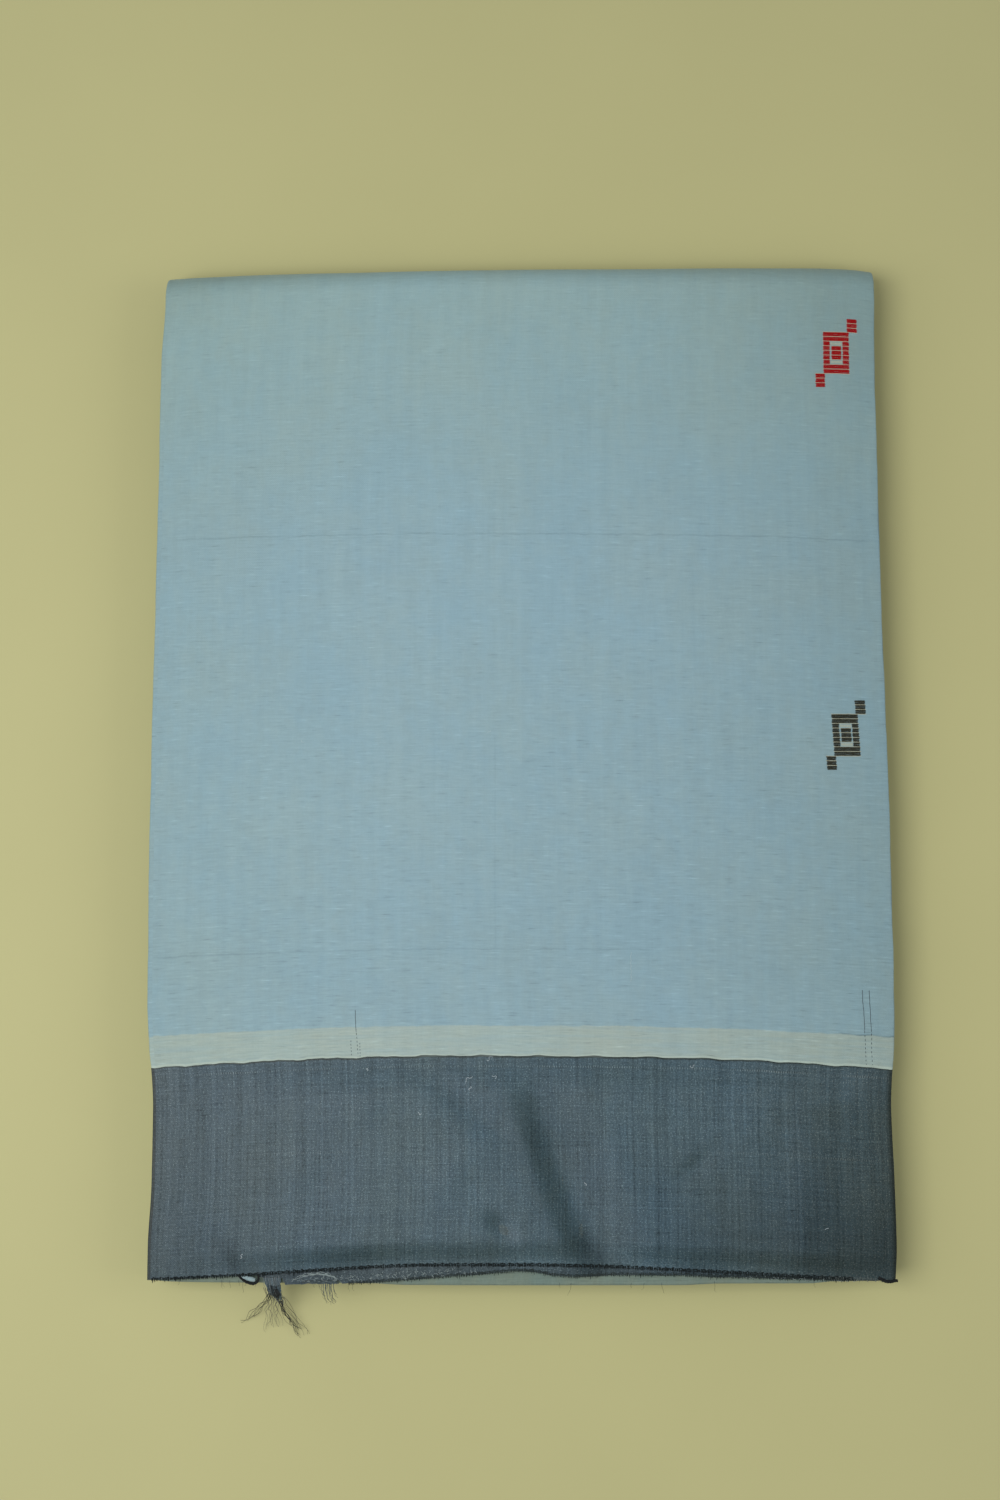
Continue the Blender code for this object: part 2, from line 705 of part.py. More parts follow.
def stand_on_origin(parts, helpers):
    """Hangs every piece on one empty, placed so that the middle of the parts' footprint is the origin."""
    frame = bpy.data.objects.new("sari_frame", None)
    parts.objects.link(frame)
    graph = bpy.context.evaluated_depsgraph_get()
    corners = []
    for obj in parts.objects:
        if obj.type == "MESH":
            corners += [Vector(corner) for corner in obj.evaluated_get(graph).bound_box]
    low, high = np.min(corners, axis=0), np.max(corners, axis=0)
    frame.location = (-(low[0] + high[0]) / 2, -(low[1] + high[1]) / 2, -low[2])
    for obj in [*parts.objects, *helpers.objects]:
        if obj.type == "MESH":
            obj.parent = frame


def main():
    clear_scene()
    parts = make_collection("folded sari")
    helpers = make_collection("helpers")
    add_hidden_layers(parts, helpers)
    add_top_stretch(parts)
    add_slate_end_upper(parts)
    add_slate_end_lower(parts)
    add_under_fold(parts)
    add_thread_tuft(parts, helpers)
    add_short_threads(parts, helpers)
    add_curled_end(parts)
    stand_on_origin(parts, helpers)


main()
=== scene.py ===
# %% [markdown]
# # A folded handloom sari
# This lesson dresses a folded cotton sari: light blue, with a slate end, lying flat and seen from almost
# straight above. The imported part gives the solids. Each stretch of cloth that shows gets a finer shell on
# the same form, made from the same few sizes, and then its weave, its woven motifs and its frayed ends.

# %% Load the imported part
import itertools
import math

import bpy
import numpy as np
from mathutils import Matrix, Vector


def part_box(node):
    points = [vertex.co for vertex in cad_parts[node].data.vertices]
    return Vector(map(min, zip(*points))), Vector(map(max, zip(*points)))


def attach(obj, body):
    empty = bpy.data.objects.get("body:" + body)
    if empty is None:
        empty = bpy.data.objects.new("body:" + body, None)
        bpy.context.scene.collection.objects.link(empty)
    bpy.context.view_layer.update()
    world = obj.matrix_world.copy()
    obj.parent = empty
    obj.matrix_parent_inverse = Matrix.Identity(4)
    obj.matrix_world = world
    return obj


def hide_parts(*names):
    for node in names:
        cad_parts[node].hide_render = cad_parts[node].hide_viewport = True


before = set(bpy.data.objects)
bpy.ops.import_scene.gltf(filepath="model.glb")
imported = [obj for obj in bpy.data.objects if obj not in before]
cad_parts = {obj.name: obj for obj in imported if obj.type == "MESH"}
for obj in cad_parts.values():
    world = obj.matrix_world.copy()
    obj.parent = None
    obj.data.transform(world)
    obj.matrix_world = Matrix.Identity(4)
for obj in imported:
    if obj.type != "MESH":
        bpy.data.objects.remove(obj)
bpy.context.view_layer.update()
print("solids in the frame:", ", ".join(sorted(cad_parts)))

# %% [markdown]
# ## Two frames
# The part stands with the middle of its footprint at the origin. The cloth is easier to lay out from the
# middle of the bundle itself, so every point below is in that bundle frame, and one shift takes it to the
# part's place. The corner of the top stretch is known in both, which gives the shift.

# %% The shift from the bundle's own frame
MM = 0.001
TURN = 2 * math.pi
TOP_CORNER = np.array([147.622, 205.707]) * MM
highest = np.array(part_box("top_stretch")[1])
SHIFT = np.array([highest[0] - TOP_CORNER[0], highest[1] - TOP_CORNER[1], 0.0])
print("shift in mm:", np.round(SHIFT / MM, 3))

# %% [markdown]
# ## Camera
# A flat bundle on a table is photographed with the camera looking almost straight down, leaning a little
# from the foot end. Its height and lean follow from how the two long sides draw together in the picture.
# A 50 mm lens on a 36 mm sensor matches that, and the long side of the picture takes the sensor's width.

# %% Camera
CAMERA_PLACE = np.array([-8.41, -73.07, 850.29]) * MM
CAMERA_LEAN = math.radians(5.406)
CAMERA_ROLL = math.radians(-0.106)


def add_object(name, data):
    """A new object with this data, in the scene."""
    made = bpy.data.objects.new(name, data)
    bpy.context.scene.collection.objects.link(made)
    return made


camera = add_object("camera", bpy.data.cameras.new("camera"))
camera.data.lens = 50.0
camera.data.sensor_width = 36.0
camera.location = CAMERA_PLACE + SHIFT
turned = Matrix.Rotation(CAMERA_LEAN, 3, "X") @ Matrix.Rotation(CAMERA_ROLL, 3, "Z")
camera.rotation_euler = turned.to_euler()
bpy.context.scene.camera = camera
bpy.context.scene.view_settings.view_transform = "Standard"
print("camera at", np.round(np.array(camera.location), 4))

# %% [markdown]
# ## Light
# The picture has one large soft light above, to the left, and a bright room round it. Its shadows are thin
# and pale on every side, a little deeper on the right, so the key is a big area light, with a weak low one
# beside it, a broad fill from the right and a strong sky.

# %% Lights and world
# name, place, size, power, whether it shows in the cloth's gloss
SOFT_LIGHTS = [
    ("key", (-0.55, -0.10, 1.15), 0.72, 10.0, True),
    ("side", (-0.72, -0.10, 0.52), 0.45, 0.9, True),
    ("fill", (0.72, -0.05, 0.60), 0.55, 1.8, False),
]
WORLD_STRENGTH = 0.365

for name, place, size, power, glossy in SOFT_LIGHTS:
    light = add_object(name, bpy.data.lights.new(name, "AREA"))
    light.data.shape = "SQUARE"
    light.data.size = size
    light.data.energy = power
    light.data.color = (1.0, 0.985, 0.95)
    light.location = place
    light.visible_glossy = glossy
    light.rotation_euler = (-light.location).to_track_quat("-Z", "Y").to_euler()

world = bpy.data.worlds.new("studio")
bpy.context.scene.world = world
world.use_nodes = True
background = world.node_tree.nodes["Background"]
background.inputs["Color"].default_value = (0.95, 0.98, 1.0, 1.0)
background.inputs["Strength"].default_value = WORLD_STRENGTH
print(len(SOFT_LIGHTS), "lights and the world")

# %% [markdown]
# ## Building materials from nodes
# Every finish here is a small node tree. One helper adds a node, sets its options and fills its inputs.
# A node's output is a term that is added and multiplied like a number, so a mask reads like its formula.

# %% Node helpers


class Term:
    """An output socket that takes part in arithmetic as a number does: each step adds one Math node."""

    def __init__(self, tree, socket):
        self.tree = tree
        self.socket = socket

    def math(self, operation, *others):
        return term(self.tree, "ShaderNodeMath", dict(enumerate([self, *others])), operation=operation)

    def __add__(self, other):
        return self.math("ADD", other)

    def __sub__(self, other):
        return self.math("SUBTRACT", other)

    def __mul__(self, other):
        return self.math("MULTIPLY", other)

    def __truediv__(self, other):
        return self.math("DIVIDE", other)

    def times_plus(self, factor, plus):
        return self.math("MULTIPLY_ADD", factor, plus)

    def ramp(self, start, end, low=0.0, high=1.0, kind="LINEAR"):
        """Goes from low to high while the term goes from start to end."""
        inputs = dict(enumerate([self, start, end, low, high]))
        return term(self.tree, "ShaderNodeMapRange", inputs, interpolation_type=kind)


def add_node(tree, kind, inputs=(), **options):
    """Adds a node, sets its options, and fills its inputs with values or with links to terms."""
    made = tree.nodes.new(kind)
    for name, value in options.items():
        setattr(made, name, value)
    for name, value in dict(inputs).items():
        if isinstance(value, Term):
            tree.links.new(value.socket, made.inputs[name])
        else:
            made.inputs[name].default_value = value
    return made


def term(tree, kind, inputs=(), output=0, **options):
    """One output of a new node, as a term."""
    return Term(tree, add_node(tree, kind, inputs, **options).outputs[output])


def split(tree, place):
    """The first two coordinates of a place: across the cloth and along it."""
    parts = add_node(tree, "ShaderNodeSeparateXYZ", {0: place}).outputs
    return Term(tree, parts[0]), Term(tree, parts[1])


def blend_colors(tree, share, first, second, mode="MIX"):
    """Mixes two colours by a share."""
    first, second = [(*color, 1) if isinstance(color, tuple) else color for color in (first, second)]
    return term(tree, "ShaderNodeMix", {0: share, 6: first, 7: second}, 2, data_type="RGBA", blend_type=mode)


def stretched_noise(tree, place, across_size, along_size, detail=2.0):
    """Noise whose patches have one size across the cloth and another along it, centred on zero."""
    sizes = (across_size, along_size, 1.0)
    shared = term(tree, "ShaderNodeVectorMath", {0: place, 1: sizes}, operation="DIVIDE")
    inputs = {"Vector": shared, "Scale": 1.0, "Detail": detail}
    return term(tree, "ShaderNodeTexNoise", inputs, noise_dimensions="2D") - 0.5


def new_group(name, inputs, outputs):
    """A shader node group, with a call that takes one of its inputs and a call that gives an output.

    The inputs are numbers by name with their first values, or a place where there is none.
    """
    tree = bpy.data.node_groups.new(name, "ShaderNodeTree")
    for label, value in inputs.items():
        kind = "NodeSocketVector" if value is None else "NodeSocketFloat"
        socket = tree.interface.new_socket(label, in_out="INPUT", socket_type=kind)
        if value is not None:
            socket.default_value = value
    for label in outputs:
        tree.interface.new_socket(label, in_out="OUTPUT", socket_type="NodeSocketFloat")
    start, end = tree.nodes.new("NodeGroupInput"), tree.nodes.new("NodeGroupOutput")
    return (
        tree,
        lambda label: Term(tree, start.outputs[label]),
        lambda label, value: tree.links.new(value.socket, end.inputs[label]),
    )


print("node helpers ready")

# %% [markdown]
# ## The handloom weave
# Handspun cotton is never even. A thick place in a weft thread shows as a thin dash across the cloth, and
# a darker or looser warp thread as a faint line along it. The group works in metres on the cloth's own
# UV map, across and along the cloth, so that threads turn the folds with it. It puts out a shade near one,
# for the colour, and a height for the bump.

# %% The weave group
# input that scales it, size across, size along, detail, how strong beside its fellows
UNEVENNESS = [
    ("Slubs", 13.0, 0.62, 2.0, 1.0),
    ("Slubs", 4.5, 0.45, 2.0, 0.7),
    ("Long wefts", 150.0, 0.85, 2.0, 1.0),
    ("Streaks", 1.1, 16.0, 2.0, 1.0),
    ("Streaks", 0.6, 2.6, 2.0, 1.0),
    ("Long warps", 0.95, 240.0, 2.0, 1.0),
    ("Bands", 6.0, 420.0, 3.0, 1.0),
    ("Grain", 0.75, 0.75, 3.0, 1.0),
    ("Clouds", 36.0, 30.0, 2.0, 0.35),
    ("Clouds", 4.0, 26.0, 2.0, 0.6),
]
DASH_STRENGTH = 28.0
DARKEST_SHADE = 0.15
THREAD_PITCH = 0.42 * MM
THREAD_RELIEF = 0.02 * MM
SLUB_RELIEF = 0.05 * MM


def make_weave_group():
    """Shade = 1 + the sum of all unevenness, tint = slow and fine drifts of hue, height = threads and slubs.

    The slubs have a cubed part as well: the cube of a noise is near zero almost everywhere, so it leaves a
    few short dashes, light and dark, like single thick or loose threads.
    """
    strengths = {name: 0.1 for name in sorted({row[0] for row in UNEVENNESS})}
    tree, given, give = new_group("handloom weave", {"Cloth": None, **strengths}, ["Shade", "Tint", "Height"])
    cloth = given("Cloth")
    shade, slubs = 1.0, 0.0
    for name, across, along, detail, share in UNEVENNESS:
        noise = stretched_noise(tree, cloth, across * MM, along * MM, detail) * share
        shade = noise.times_plus(given(name), shade)
        if name == "Slubs":
            slubs = noise + slubs
    dashes = stretched_noise(tree, cloth, 7 * MM, 0.7 * MM, 1.0)
    shade = (dashes * dashes * dashes * DASH_STRENGTH).times_plus(given("Slubs"), shade)
    give("Shade", shade.math("MAXIMUM", DARKEST_SHADE))
    slow_tint = stretched_noise(tree, cloth, 34 * MM, 46 * MM).times_plus(2.0, 0.5)
    give("Tint", stretched_noise(tree, cloth, 4 * MM, 7 * MM) + slow_tint)
    waves = [(place / THREAD_PITCH * math.pi).math("SINE") for place in split(tree, cloth)]
    give("Height", waves[0] * waves[1] * THREAD_RELIEF + slubs * SLUB_RELIEF)
    return tree


def make_line_group():
    """Mask = 1 within a half width of a place, falling to 0 over a softness."""
    inputs = ("At", "Place", "Half width", "Softness")
    tree, given, give = new_group("soft line", dict.fromkeys(inputs, 0.2 * MM), ["Mask"])
    past = (given("At") - given("Place")).math("ABSOLUTE") - given("Half width")
    give("Mask", (past / given("Softness")).ramp(0.0, 1.0, 1.0, 0.0, "SMOOTHSTEP"))
    return tree


weave_group = make_weave_group()
line_group = make_line_group()
print("groups:", weave_group.name, "and", line_group.name)

# %% [markdown]
# ## Cotton
# One function makes each plain cotton: its colour times the weave's shade, a matt Principled BSDF with a
# little sheen from the fibres that stand off the thread, and the weave's height as bump.

# %% Cotton materials
FADE_INWARDS = (8 * MM, 36 * MM)


def weave_node(tree, cloth, **strengths):
    """The weave on the cloth's UV map, with the strengths of its kinds of unevenness: shade, tint, height."""
    inputs = {name.replace("_", " ").capitalize(): value for name, value in strengths.items()}
    weave = add_node(tree, "ShaderNodeGroup", {"Cloth": cloth, **inputs}, node_tree=weave_group)
    return [Term(tree, socket) for socket in weave.outputs]


def start_material(name, roughness, sheen=0.0, specular=0.5):
    """A material with a Principled BSDF whose plain values are set on its own sockets."""
    material = bpy.data.materials.new(name)
    material.use_nodes = True
    shader = material.node_tree.nodes["Principled BSDF"]
    shader.inputs["Roughness"].default_value = roughness
    shader.inputs["Sheen Weight"].default_value = sheen
    shader.inputs["Sheen Roughness"].default_value = 0.5
    shader.inputs["Specular IOR Level"].default_value = specular
    return material, material.node_tree, shader


def cloth_map(tree):
    """The cloth's own UV map, and its place across and along."""
    cloth = term(tree, "ShaderNodeUVMap", uv_map="cloth")
    return cloth, *split(tree, cloth)


def tinted(tree, color, tint, amount):
    """The colour drifting with the tint between a cooler and a warmer hue of the same lightness."""
    red, green, blue = color
    cool = (red * (1 - amount), green, blue * (1 + amount))
    warm = (red * (1 + amount), green, blue * (1 - amount))
    return blend_colors(tree, term(tree, "ShaderNodeClamp", {0: tint}), cool, warm)


def finish_cotton(tree, shader, color, shade, height, bump_strength=1.0):
    """Feeds the colour times the shade, and the bump, to the shader."""
    shaded = blend_colors(tree, 1.0, color, shade, "MULTIPLY")
    bump = term(tree, "ShaderNodeBump", {"Height": height, "Strength": bump_strength, "Distance": 1.0})
    tree.links.new(shaded.socket, shader.inputs["Base Color"])
    tree.links.new(bump.socket, shader.inputs["Normal"])


def line_mask(at, place, half_width, softness):
    """The soft line group at one place."""
    values = {"At": at, "Place": place, "Half width": half_width, "Softness": softness}
    return term(at.tree, "ShaderNodeGroup", values, node_tree=line_group)


def plain_cotton(name, color, slubs, streaks, bands, grain, inwards=None):
    """A matt cotton in one colour, with the four kinds of unevenness that show from a step away.

    Where inwards gives a second colour and the middle of the run, the cloth turns to it away from there.
    """
    material, tree, shader = start_material(name, 0.85, 0.1, 0.3)
    cloth, _, along = cloth_map(tree)
    shade, tint, height = weave_node(tree, cloth, slubs=slubs, streaks=streaks, bands=bands, grain=grain)
    cotton = tinted(tree, color, tint, 0.05)
    if inwards:
        inner_color, middle = inwards
        inside = (along - middle).math("ABSOLUTE").ramp(*FADE_INWARDS)
        cotton = blend_colors(tree, inside, cotton, inner_color)
    finish_cotton(tree, shader, cotton, shade, height)
    return material


print("cotton helpers ready")

# %% [markdown]
# ## How the sari is folded
# The cloth is folded in four across its width. The strip that this gives is folded in half four times
# along its length, the far end going under each time, so 16 stretches of four plies lie in the bundle.
# The rule below works out which stretch lies in which slot, as folding a strip of paper would.

# %% Sizes of the cloth and the pile
CLOTH_WIDTH = 1.168
PLIES_ACROSS = 4
HALVINGS = 4
STRIP_WIDTH = CLOTH_WIDTH / PLIES_ACROSS
HALF_STRIP = STRIP_WIDTH / 2
STRIPS = 2**HALVINGS
WALL = 1.05 * MM
HALF_WALL = WALL / 2
PITCH = WALL + 0.3 * MM
STACK_HEIGHT = (STRIPS - 1) * PITCH + WALL

HEAD = 205.7 * MM
HEAD_CENTRE = HEAD - STACK_HEIGHT / 2
UNDERSIDE_SEAM = HEAD_CENTRE - 6 * MM
UNDER_FOLD_BACK = -160 * MM
LOWER_PLY_BACK = -128 * MM
# the outermost slot of each nest of turns at the foot: its turn's reach, and its turn's radius in slots
FOOT_NESTS = {5: (-203.4 * MM, 1.5), 9: (-204.4 * MM, 3.5)}
NEST_SLACK = 0.12 * MM


def level(slot):
    """Height of a strip's middle, counting slots from 1 at the top of the pile."""
    return HALF_WALL + (STRIPS - slot) * PITCH


def folded_order(times):
    """Which stretch lies in each slot, top to bottom, after folding the strip in half so often."""
    piles = [[stretch] for stretch in range(2**times)]
    for _ in range(times):
        piles = [near + far[::-1] for near, far in zip(piles[: len(piles) // 2], piles[::-1])]
    return piles[0]


ORDER = folded_order(HALVINGS)
SLOT_OF = {stretch: slot for slot, stretch in enumerate(ORDER, 1)}
print("stretches from the top down:", ORDER)

# %% [markdown]
# ## The uneven outline
# A pile of cloth is never a true rectangle. Short tables say where its two sides, its head fold, the join
# of the two weaves and the cut ends run. A smooth curve goes through the rows of each table.

# %% Outline tables, in millimetres
# along, left edge, right edge
OUTLINE = np.array([
    (-204, -146.7, 146), (-190, -146.6, 146.7), (-165, -145.4, 146.3), (-136, -145.2, 145.5),
    (-124, -145.8, 146.1), (-115, -146.9, 147.1), (-94, -148.1, 147.6), (-50, -148.3, 147.4),
    (0, -148, 146.9), (46, -147.4, 145.8), (107, -146.6, 145), (170, -146, 144.6),
    (188, -144.9, 144.8), (205.7, -144.3, 145.2),
]) * MM
# across, how far the head fold is drawn back
HEAD_LINE = np.array([
    (-146, 4.2), (-130, 3.4), (-94, 2.1), (-36, 0.8), (5, 0.2),
    (80, 0), (120, 0), (131, 0.1), (139, 0.5), (146, 1.3),
]) * MM
HEAD_LINE_REACH = 120 * MM
# across, along: the join of the blue and slate weaves
JOIN_LINE = np.array([
    (-148, -120.5), (-123, -118.8), (-76, -116.6), (-28, -115.5), (15, -115.8),
    (50, -116.3), (90, -117.6), (121, -119.6), (148, -121.4),
]) * MM
# across, along: the cut edge of the upper slate ply
UPPER_CUT = np.array([
    (-148, -202.3), (-110, -200.4), (-75, -198.2), (-35, -196.5), (0, -196.5),
    (30, -197.2), (70, -199), (105, -201), (130, -202.4), (148, -203.5),
]) * MM
# across, along: the cut edge of the lower slate ply, let in for the tuft and the short threads
LOWER_CUT = np.array([
    (-148, -199.3), (-103.9, -199.3), (-102.4, -201.3), (-93.4, -201.3), (-92.4, -204.3), (-86, -204.2),
    (-85.2, -202.5), (-71, -202.4), (-70.2, -203.9), (-45, -202.2), (-32, -201.2), (-14, -199.8),
    (-2, -198.8), (4, -199), (12, -200.6), (20, -201.2), (36, -200.6), (62, -200.6),
    (72, -201.2), (90, -201.6), (120, -202.7), (136, -203.4), (148, -202.4),
]) * MM
# across, along: the pale-blue fold below the slate
UNDER_LINE = np.array([
    (-148, -202.2), (-138, -203.4), (-118, -203.8), (-60, -204.2), (-45, -204.9), (0, -205.15),
    (62, -205.2), (78, -204.6), (113, -204.6), (121, -203.9), (137, -203.7), (148, -202),
]) * MM
# from, to, drop of the top at the far end: across at the two sides, then along at the foot
SIDE_SAGS = np.array([(106, 147, 2.3), (-132, -148, 0.9)]) * MM
FOOT_SAG = np.array([-176, -205, 0.7]) * MM


def smooth_step(t):
    t = np.clip(t, 0.0, 1.0)
    return t * t * (3 - 2 * t)


def places(*parts):
    """Places from their coordinates, each of them an array or a number: across, along, height."""
    return np.stack(np.broadcast_arrays(*parts), axis=-1)


def straight_through(table, at, column=1):
    return np.interp(at, table[:, 0], table[:, column])


def curve_through(table, at, column=1):
    """A curve through the table's rows that never swings past them.

    On each span it is the cubic with the slopes at its two rows. A row's slope is the harmonic mean of the
    slopes on its two sides, and zero where they differ in sign.
    """
    along, values = table[:, 0], table[:, column]
    rises = np.diff(values) / np.diff(along)
    product = np.clip(rises[:-1] * rises[1:], 0, None)
    total = np.where(product > 0, rises[:-1] + rises[1:], 1.0)
    slopes = np.concatenate([rises[:1], 2 * product / total, rises[-1:]])
    at = np.clip(at, along[0], along[-1])
    span = np.clip(np.searchsorted(along, at) - 1, 0, len(along) - 2)
    width = along[span + 1] - along[span]
    t = (at - along[span]) / width
    bend = t * (1 - t) * width * (slopes[span] * (1 - t) - slopes[span + 1] * t)
    return values[span] + (values[span + 1] - values[span]) * t * t * (3 - 2 * t) + bend


def curves_along(line, at):
    """The columns of a table read at its row numbers, which may be fractions, as smooth curves."""
    numbers = np.arange(len(line), dtype=float)
    return [curve_through(np.column_stack([numbers, column]), at) for column in line.T]


def settle(points):
    """Moves points of the straight layout to where the settled pile has them.

    Across: the same share of the way from the left outline to the right one. Along: the head fold drawn
    back. Height: every layer keeps its share of the pile's sagged height, so the underside stays flat.
    """
    across, along, height = np.moveaxis(points, -1, 0)
    left, right = (curve_through(OUTLINE, along, side) for side in (1, 2))
    across = left + (across / STRIP_WIDTH + 0.5) * (right - left)
    headward = smooth_step((along - (HEAD - HEAD_LINE_REACH)) / HEAD_LINE_REACH)
    along = along - curve_through(HEAD_LINE, across) * headward
    drop = 0.0
    for start, end, most in SIDE_SAGS:
        drop = drop + most * np.clip((across - start) / (end - start), 0, None) ** 2
    start, end, most = FOOT_SAG
    drop = drop + most * np.clip((along - start) / (end - start), 0, 1.1) ** 2
    height = level(STRIPS) + (height - level(STRIPS)) * (1 - drop / STACK_HEIGHT)
    return places(across, along, height)


def wander(at, seed, longest, most):
    """A soft uneven line: four sine waves with seeded phases, each shorter and weaker than the last."""
    waves = longest / np.array([1.0, 1.9, 3.7, 7.1])
    strengths = np.array([1.0, 0.6, 0.35, 0.2])
    phases = np.random.default_rng(seed).uniform(0, TURN, 4)
    return most * (np.sin(TURN * np.asarray(at)[..., None] / waves + phases) @ strengths) / strengths.sum()


def bells(table, across, along):
    """A sum of soft spots, each a bell in its own turned and stretched frame.

    A row holds its middle across and along, its half sizes, its turn in degrees and its amount.
    """
    total = 0.0
    for x, y, length, width, turn, amount in table:
        c, s = math.cos(math.radians(turn)), math.sin(math.radians(turn))
        dx, dy = across - x * MM, along - y * MM
        far = ((c * dx + s * dy) / (length * MM)) ** 2 + ((c * dy - s * dx) / (width * MM)) ** 2
        total = total + amount * np.exp(-far)
    return total


bundle_length = HEAD - UPPER_CUT[:, 1].min()
print("bundle is", round(bundle_length / MM), "mm long and", round(STACK_HEIGHT / MM, 1), "high")

# %% [markdown]
# ## Walking along the folded strip
# The middle line of the strip, seen from the side, is a row of straight stretches joined by half turns.
# The head's turns share one centre, and each nest of turns at the foot shares the centre of its outermost.

# %% The strip's middle line
ROUND_STEP = 0.55 * MM


def turn_after(stretch):
    """Centre and radius of the fold that leads to the next stretch, and its end of the bundle."""
    upper, lower = sorted((SLOT_OF[stretch], SLOT_OF[stretch + 1]))
    radius = (lower - upper) / 2 * PITCH
    height = (level(upper) + level(lower)) / 2
    if stretch % 2 == 0:
        return np.array([HEAD_CENTRE - (upper - 1) * NEST_SLACK, height]), radius, 1
    outermost = max(slot for slot in FOOT_NESTS if slot <= upper)
    reach, outer_slots = FOOT_NESTS[outermost]
    centre = reach + outer_slots * PITCH + HALF_WALL + (upper - outermost) * NEST_SLACK
    return np.array([centre, height]), radius, -1


def half_turn(centre, radius, end, upwards, steps):
    """Points of a half circle about a centre, without its two ends."""
    angles = np.linspace(-math.pi / 2, math.pi / 2, steps + 1)[1:-1]
    if not upwards:
        angles = angles[::-1]
    return places(centre[0] + end * radius * np.cos(angles), centre[1] + radius * np.sin(angles))


def walk(first, start, last, stop, step):
    """Follows the strip from a place on one stretch to a place on a later one: (along, height) rows."""
    rows = []
    for stretch in range(first, last + 1):
        height = level(SLOT_OF[stretch])
        begins = start if stretch == first else turn_after(stretch - 1)[0][0]
        ends = stop if stretch == last else turn_after(stretch)[0][0]
        count = max(2, math.ceil(abs(ends - begins) / step) + 1)
        rows.append(places(np.linspace(begins, ends, count), height))
        if stretch < last:
            centre, radius, end = turn_after(stretch)
            steps = 8 + int(math.pi * radius / ROUND_STEP / 2)
            rows.append(half_turn(centre, radius, end, level(SLOT_OF[stretch + 1]) > height, steps))
    return np.concatenate(rows)


def travelled(rows):
    """Length of the path up to each row."""
    return np.concatenate([[0.0], np.cumsum(np.linalg.norm(np.diff(rows, axis=0), axis=1))])


def unit(vectors):
    return vectors / np.maximum(np.linalg.norm(vectors, axis=-1, keepdims=True), 1e-12)


head_radii = [turn_after(stretch)[1] for stretch in range(0, STRIPS - 1, 2)]
print("turn radii at the head in mm:", np.round(np.array(head_radii) / MM, 2))

# %% [markdown]
# ## The edge of a four-ply strip
# Folding in four across leaves one thick rounded fold on one side of the strip. The other side is open:
# a thinner fold of two plies, and the two selvedges, which never end quite level. A closed section with
# these two edges is carried along the walk, so that a look at the side shows every layer of the pile.

# %% Section of a strip
# inset from the edge, height from the strip's middle, which lip it belongs to: 0 the fold, 1 and 2 the
# selvedges, 3 none of them
OPEN_SIDE = np.array([
    (1.20, 0.525, 3), (0.50, 0.515, 0), (0.16, 0.440, 0), (0.00, 0.275, 0), (0.14, 0.110, 0),
    (0.50, 0.035, 0), (3.60, 0.004, 3), (0.75, -0.020, 1), (0.62, -0.125, 1), (0.75, -0.235, 1),
    (3.60, -0.256, 3), (0.35, -0.275, 2), (0.20, -0.390, 2), (0.35, -0.505, 2), (1.40, -0.525, 3),
])
FOLD_SIDE = np.array([
    (1.10, -0.525), (0.42, -0.480), (0.10, -0.290), (0.00, 0.000),
    (0.10, 0.290), (0.42, 0.480), (1.10, 0.525),
])
# how far each lip is drawn in, and how far it wanders
LIPS = [(0.0, 0.18), (0.7, 0.6), (0.5, 0.5)]
EDGE_REACH = 12 * MM


def strip_sections(rows, left_in, right_in, top_count, under_count, seed, relief=None):
    """Closed sections of the strip at every row, in the straight layout: (rows, points, 3).

    A point is its row's middle, plus its height from the middle along the row's normal, and its place
    across is its inset from the left or right edge, which wander along the strip.
    """
    run = travelled(rows)
    forward = unit(np.gradient(rows, axis=0))
    left = (-HALF_STRIP + left_in + wander(run, seed, 60 * MM, 0.14 * MM))[:, None]
    right = (HALF_STRIP - right_in - wander(run, seed + 1, 70 * MM, 0.14 * MM))[:, None]
    tops = left + (right - left) * np.linspace(0, 1, top_count + 2)[1:-1]
    unders = left + (right - left) * np.linspace(1, 0, under_count + 2)[1:-1]
    insets = np.tile(OPEN_SIDE[:, 0] * MM, (len(rows), 1))
    for lip, (drawn_in, most) in enumerate(LIPS):
        wandering = drawn_in * MM + wander(run, seed + 2 + lip, 50 * MM, most * MM)
        insets[:, OPEN_SIDE[:, 2] == lip] += wandering[:, None]
    across = np.concatenate([tops, right - insets, unders, left + FOLD_SIDE[:, 0] * MM], axis=1)
    tops_high, unders_low = np.full(top_count, HALF_WALL), np.full(under_count, -HALF_WALL)
    offsets = np.concatenate([tops_high, OPEN_SIDE[:, 1] * MM, unders_low, FOLD_SIDE[:, 1] * MM])
    flutter = wander(run, seed + 5, 70 * MM, 0.06 * MM)[:, None]
    near_edge = smooth_step((np.abs(across) - (HALF_STRIP - EDGE_REACH)) / EDGE_REACH)
    above_floor = smooth_step((rows[:, 1:] - level(STRIPS)) / (3 * PITCH))
    offsets = offsets + flutter * near_edge * above_floor
    if relief is not None:
        offsets[:, :top_count] += relief(tops, rows[:, :1]) * above_floor
    return places(across, rows[:, :1] - offsets * forward[:, 1:], rows[:, 1:] + offsets * forward[:, :1])


print("a section has", len(OPEN_SIDE) + len(FOLD_SIDE), "points on its two edges")

# %% [markdown]
# ## From arrays to meshes
# A skin round a stack of sections, a thin sheet with a front, a back and a rim, and tubes along many
# paths: these three builders make every new mesh, each from whole arrays. What is made of many threads
# gives them one by one, and they are joined into one mesh.

# %% Mesh builders
UPWARDS = (0.0, 0.0, 1.0)


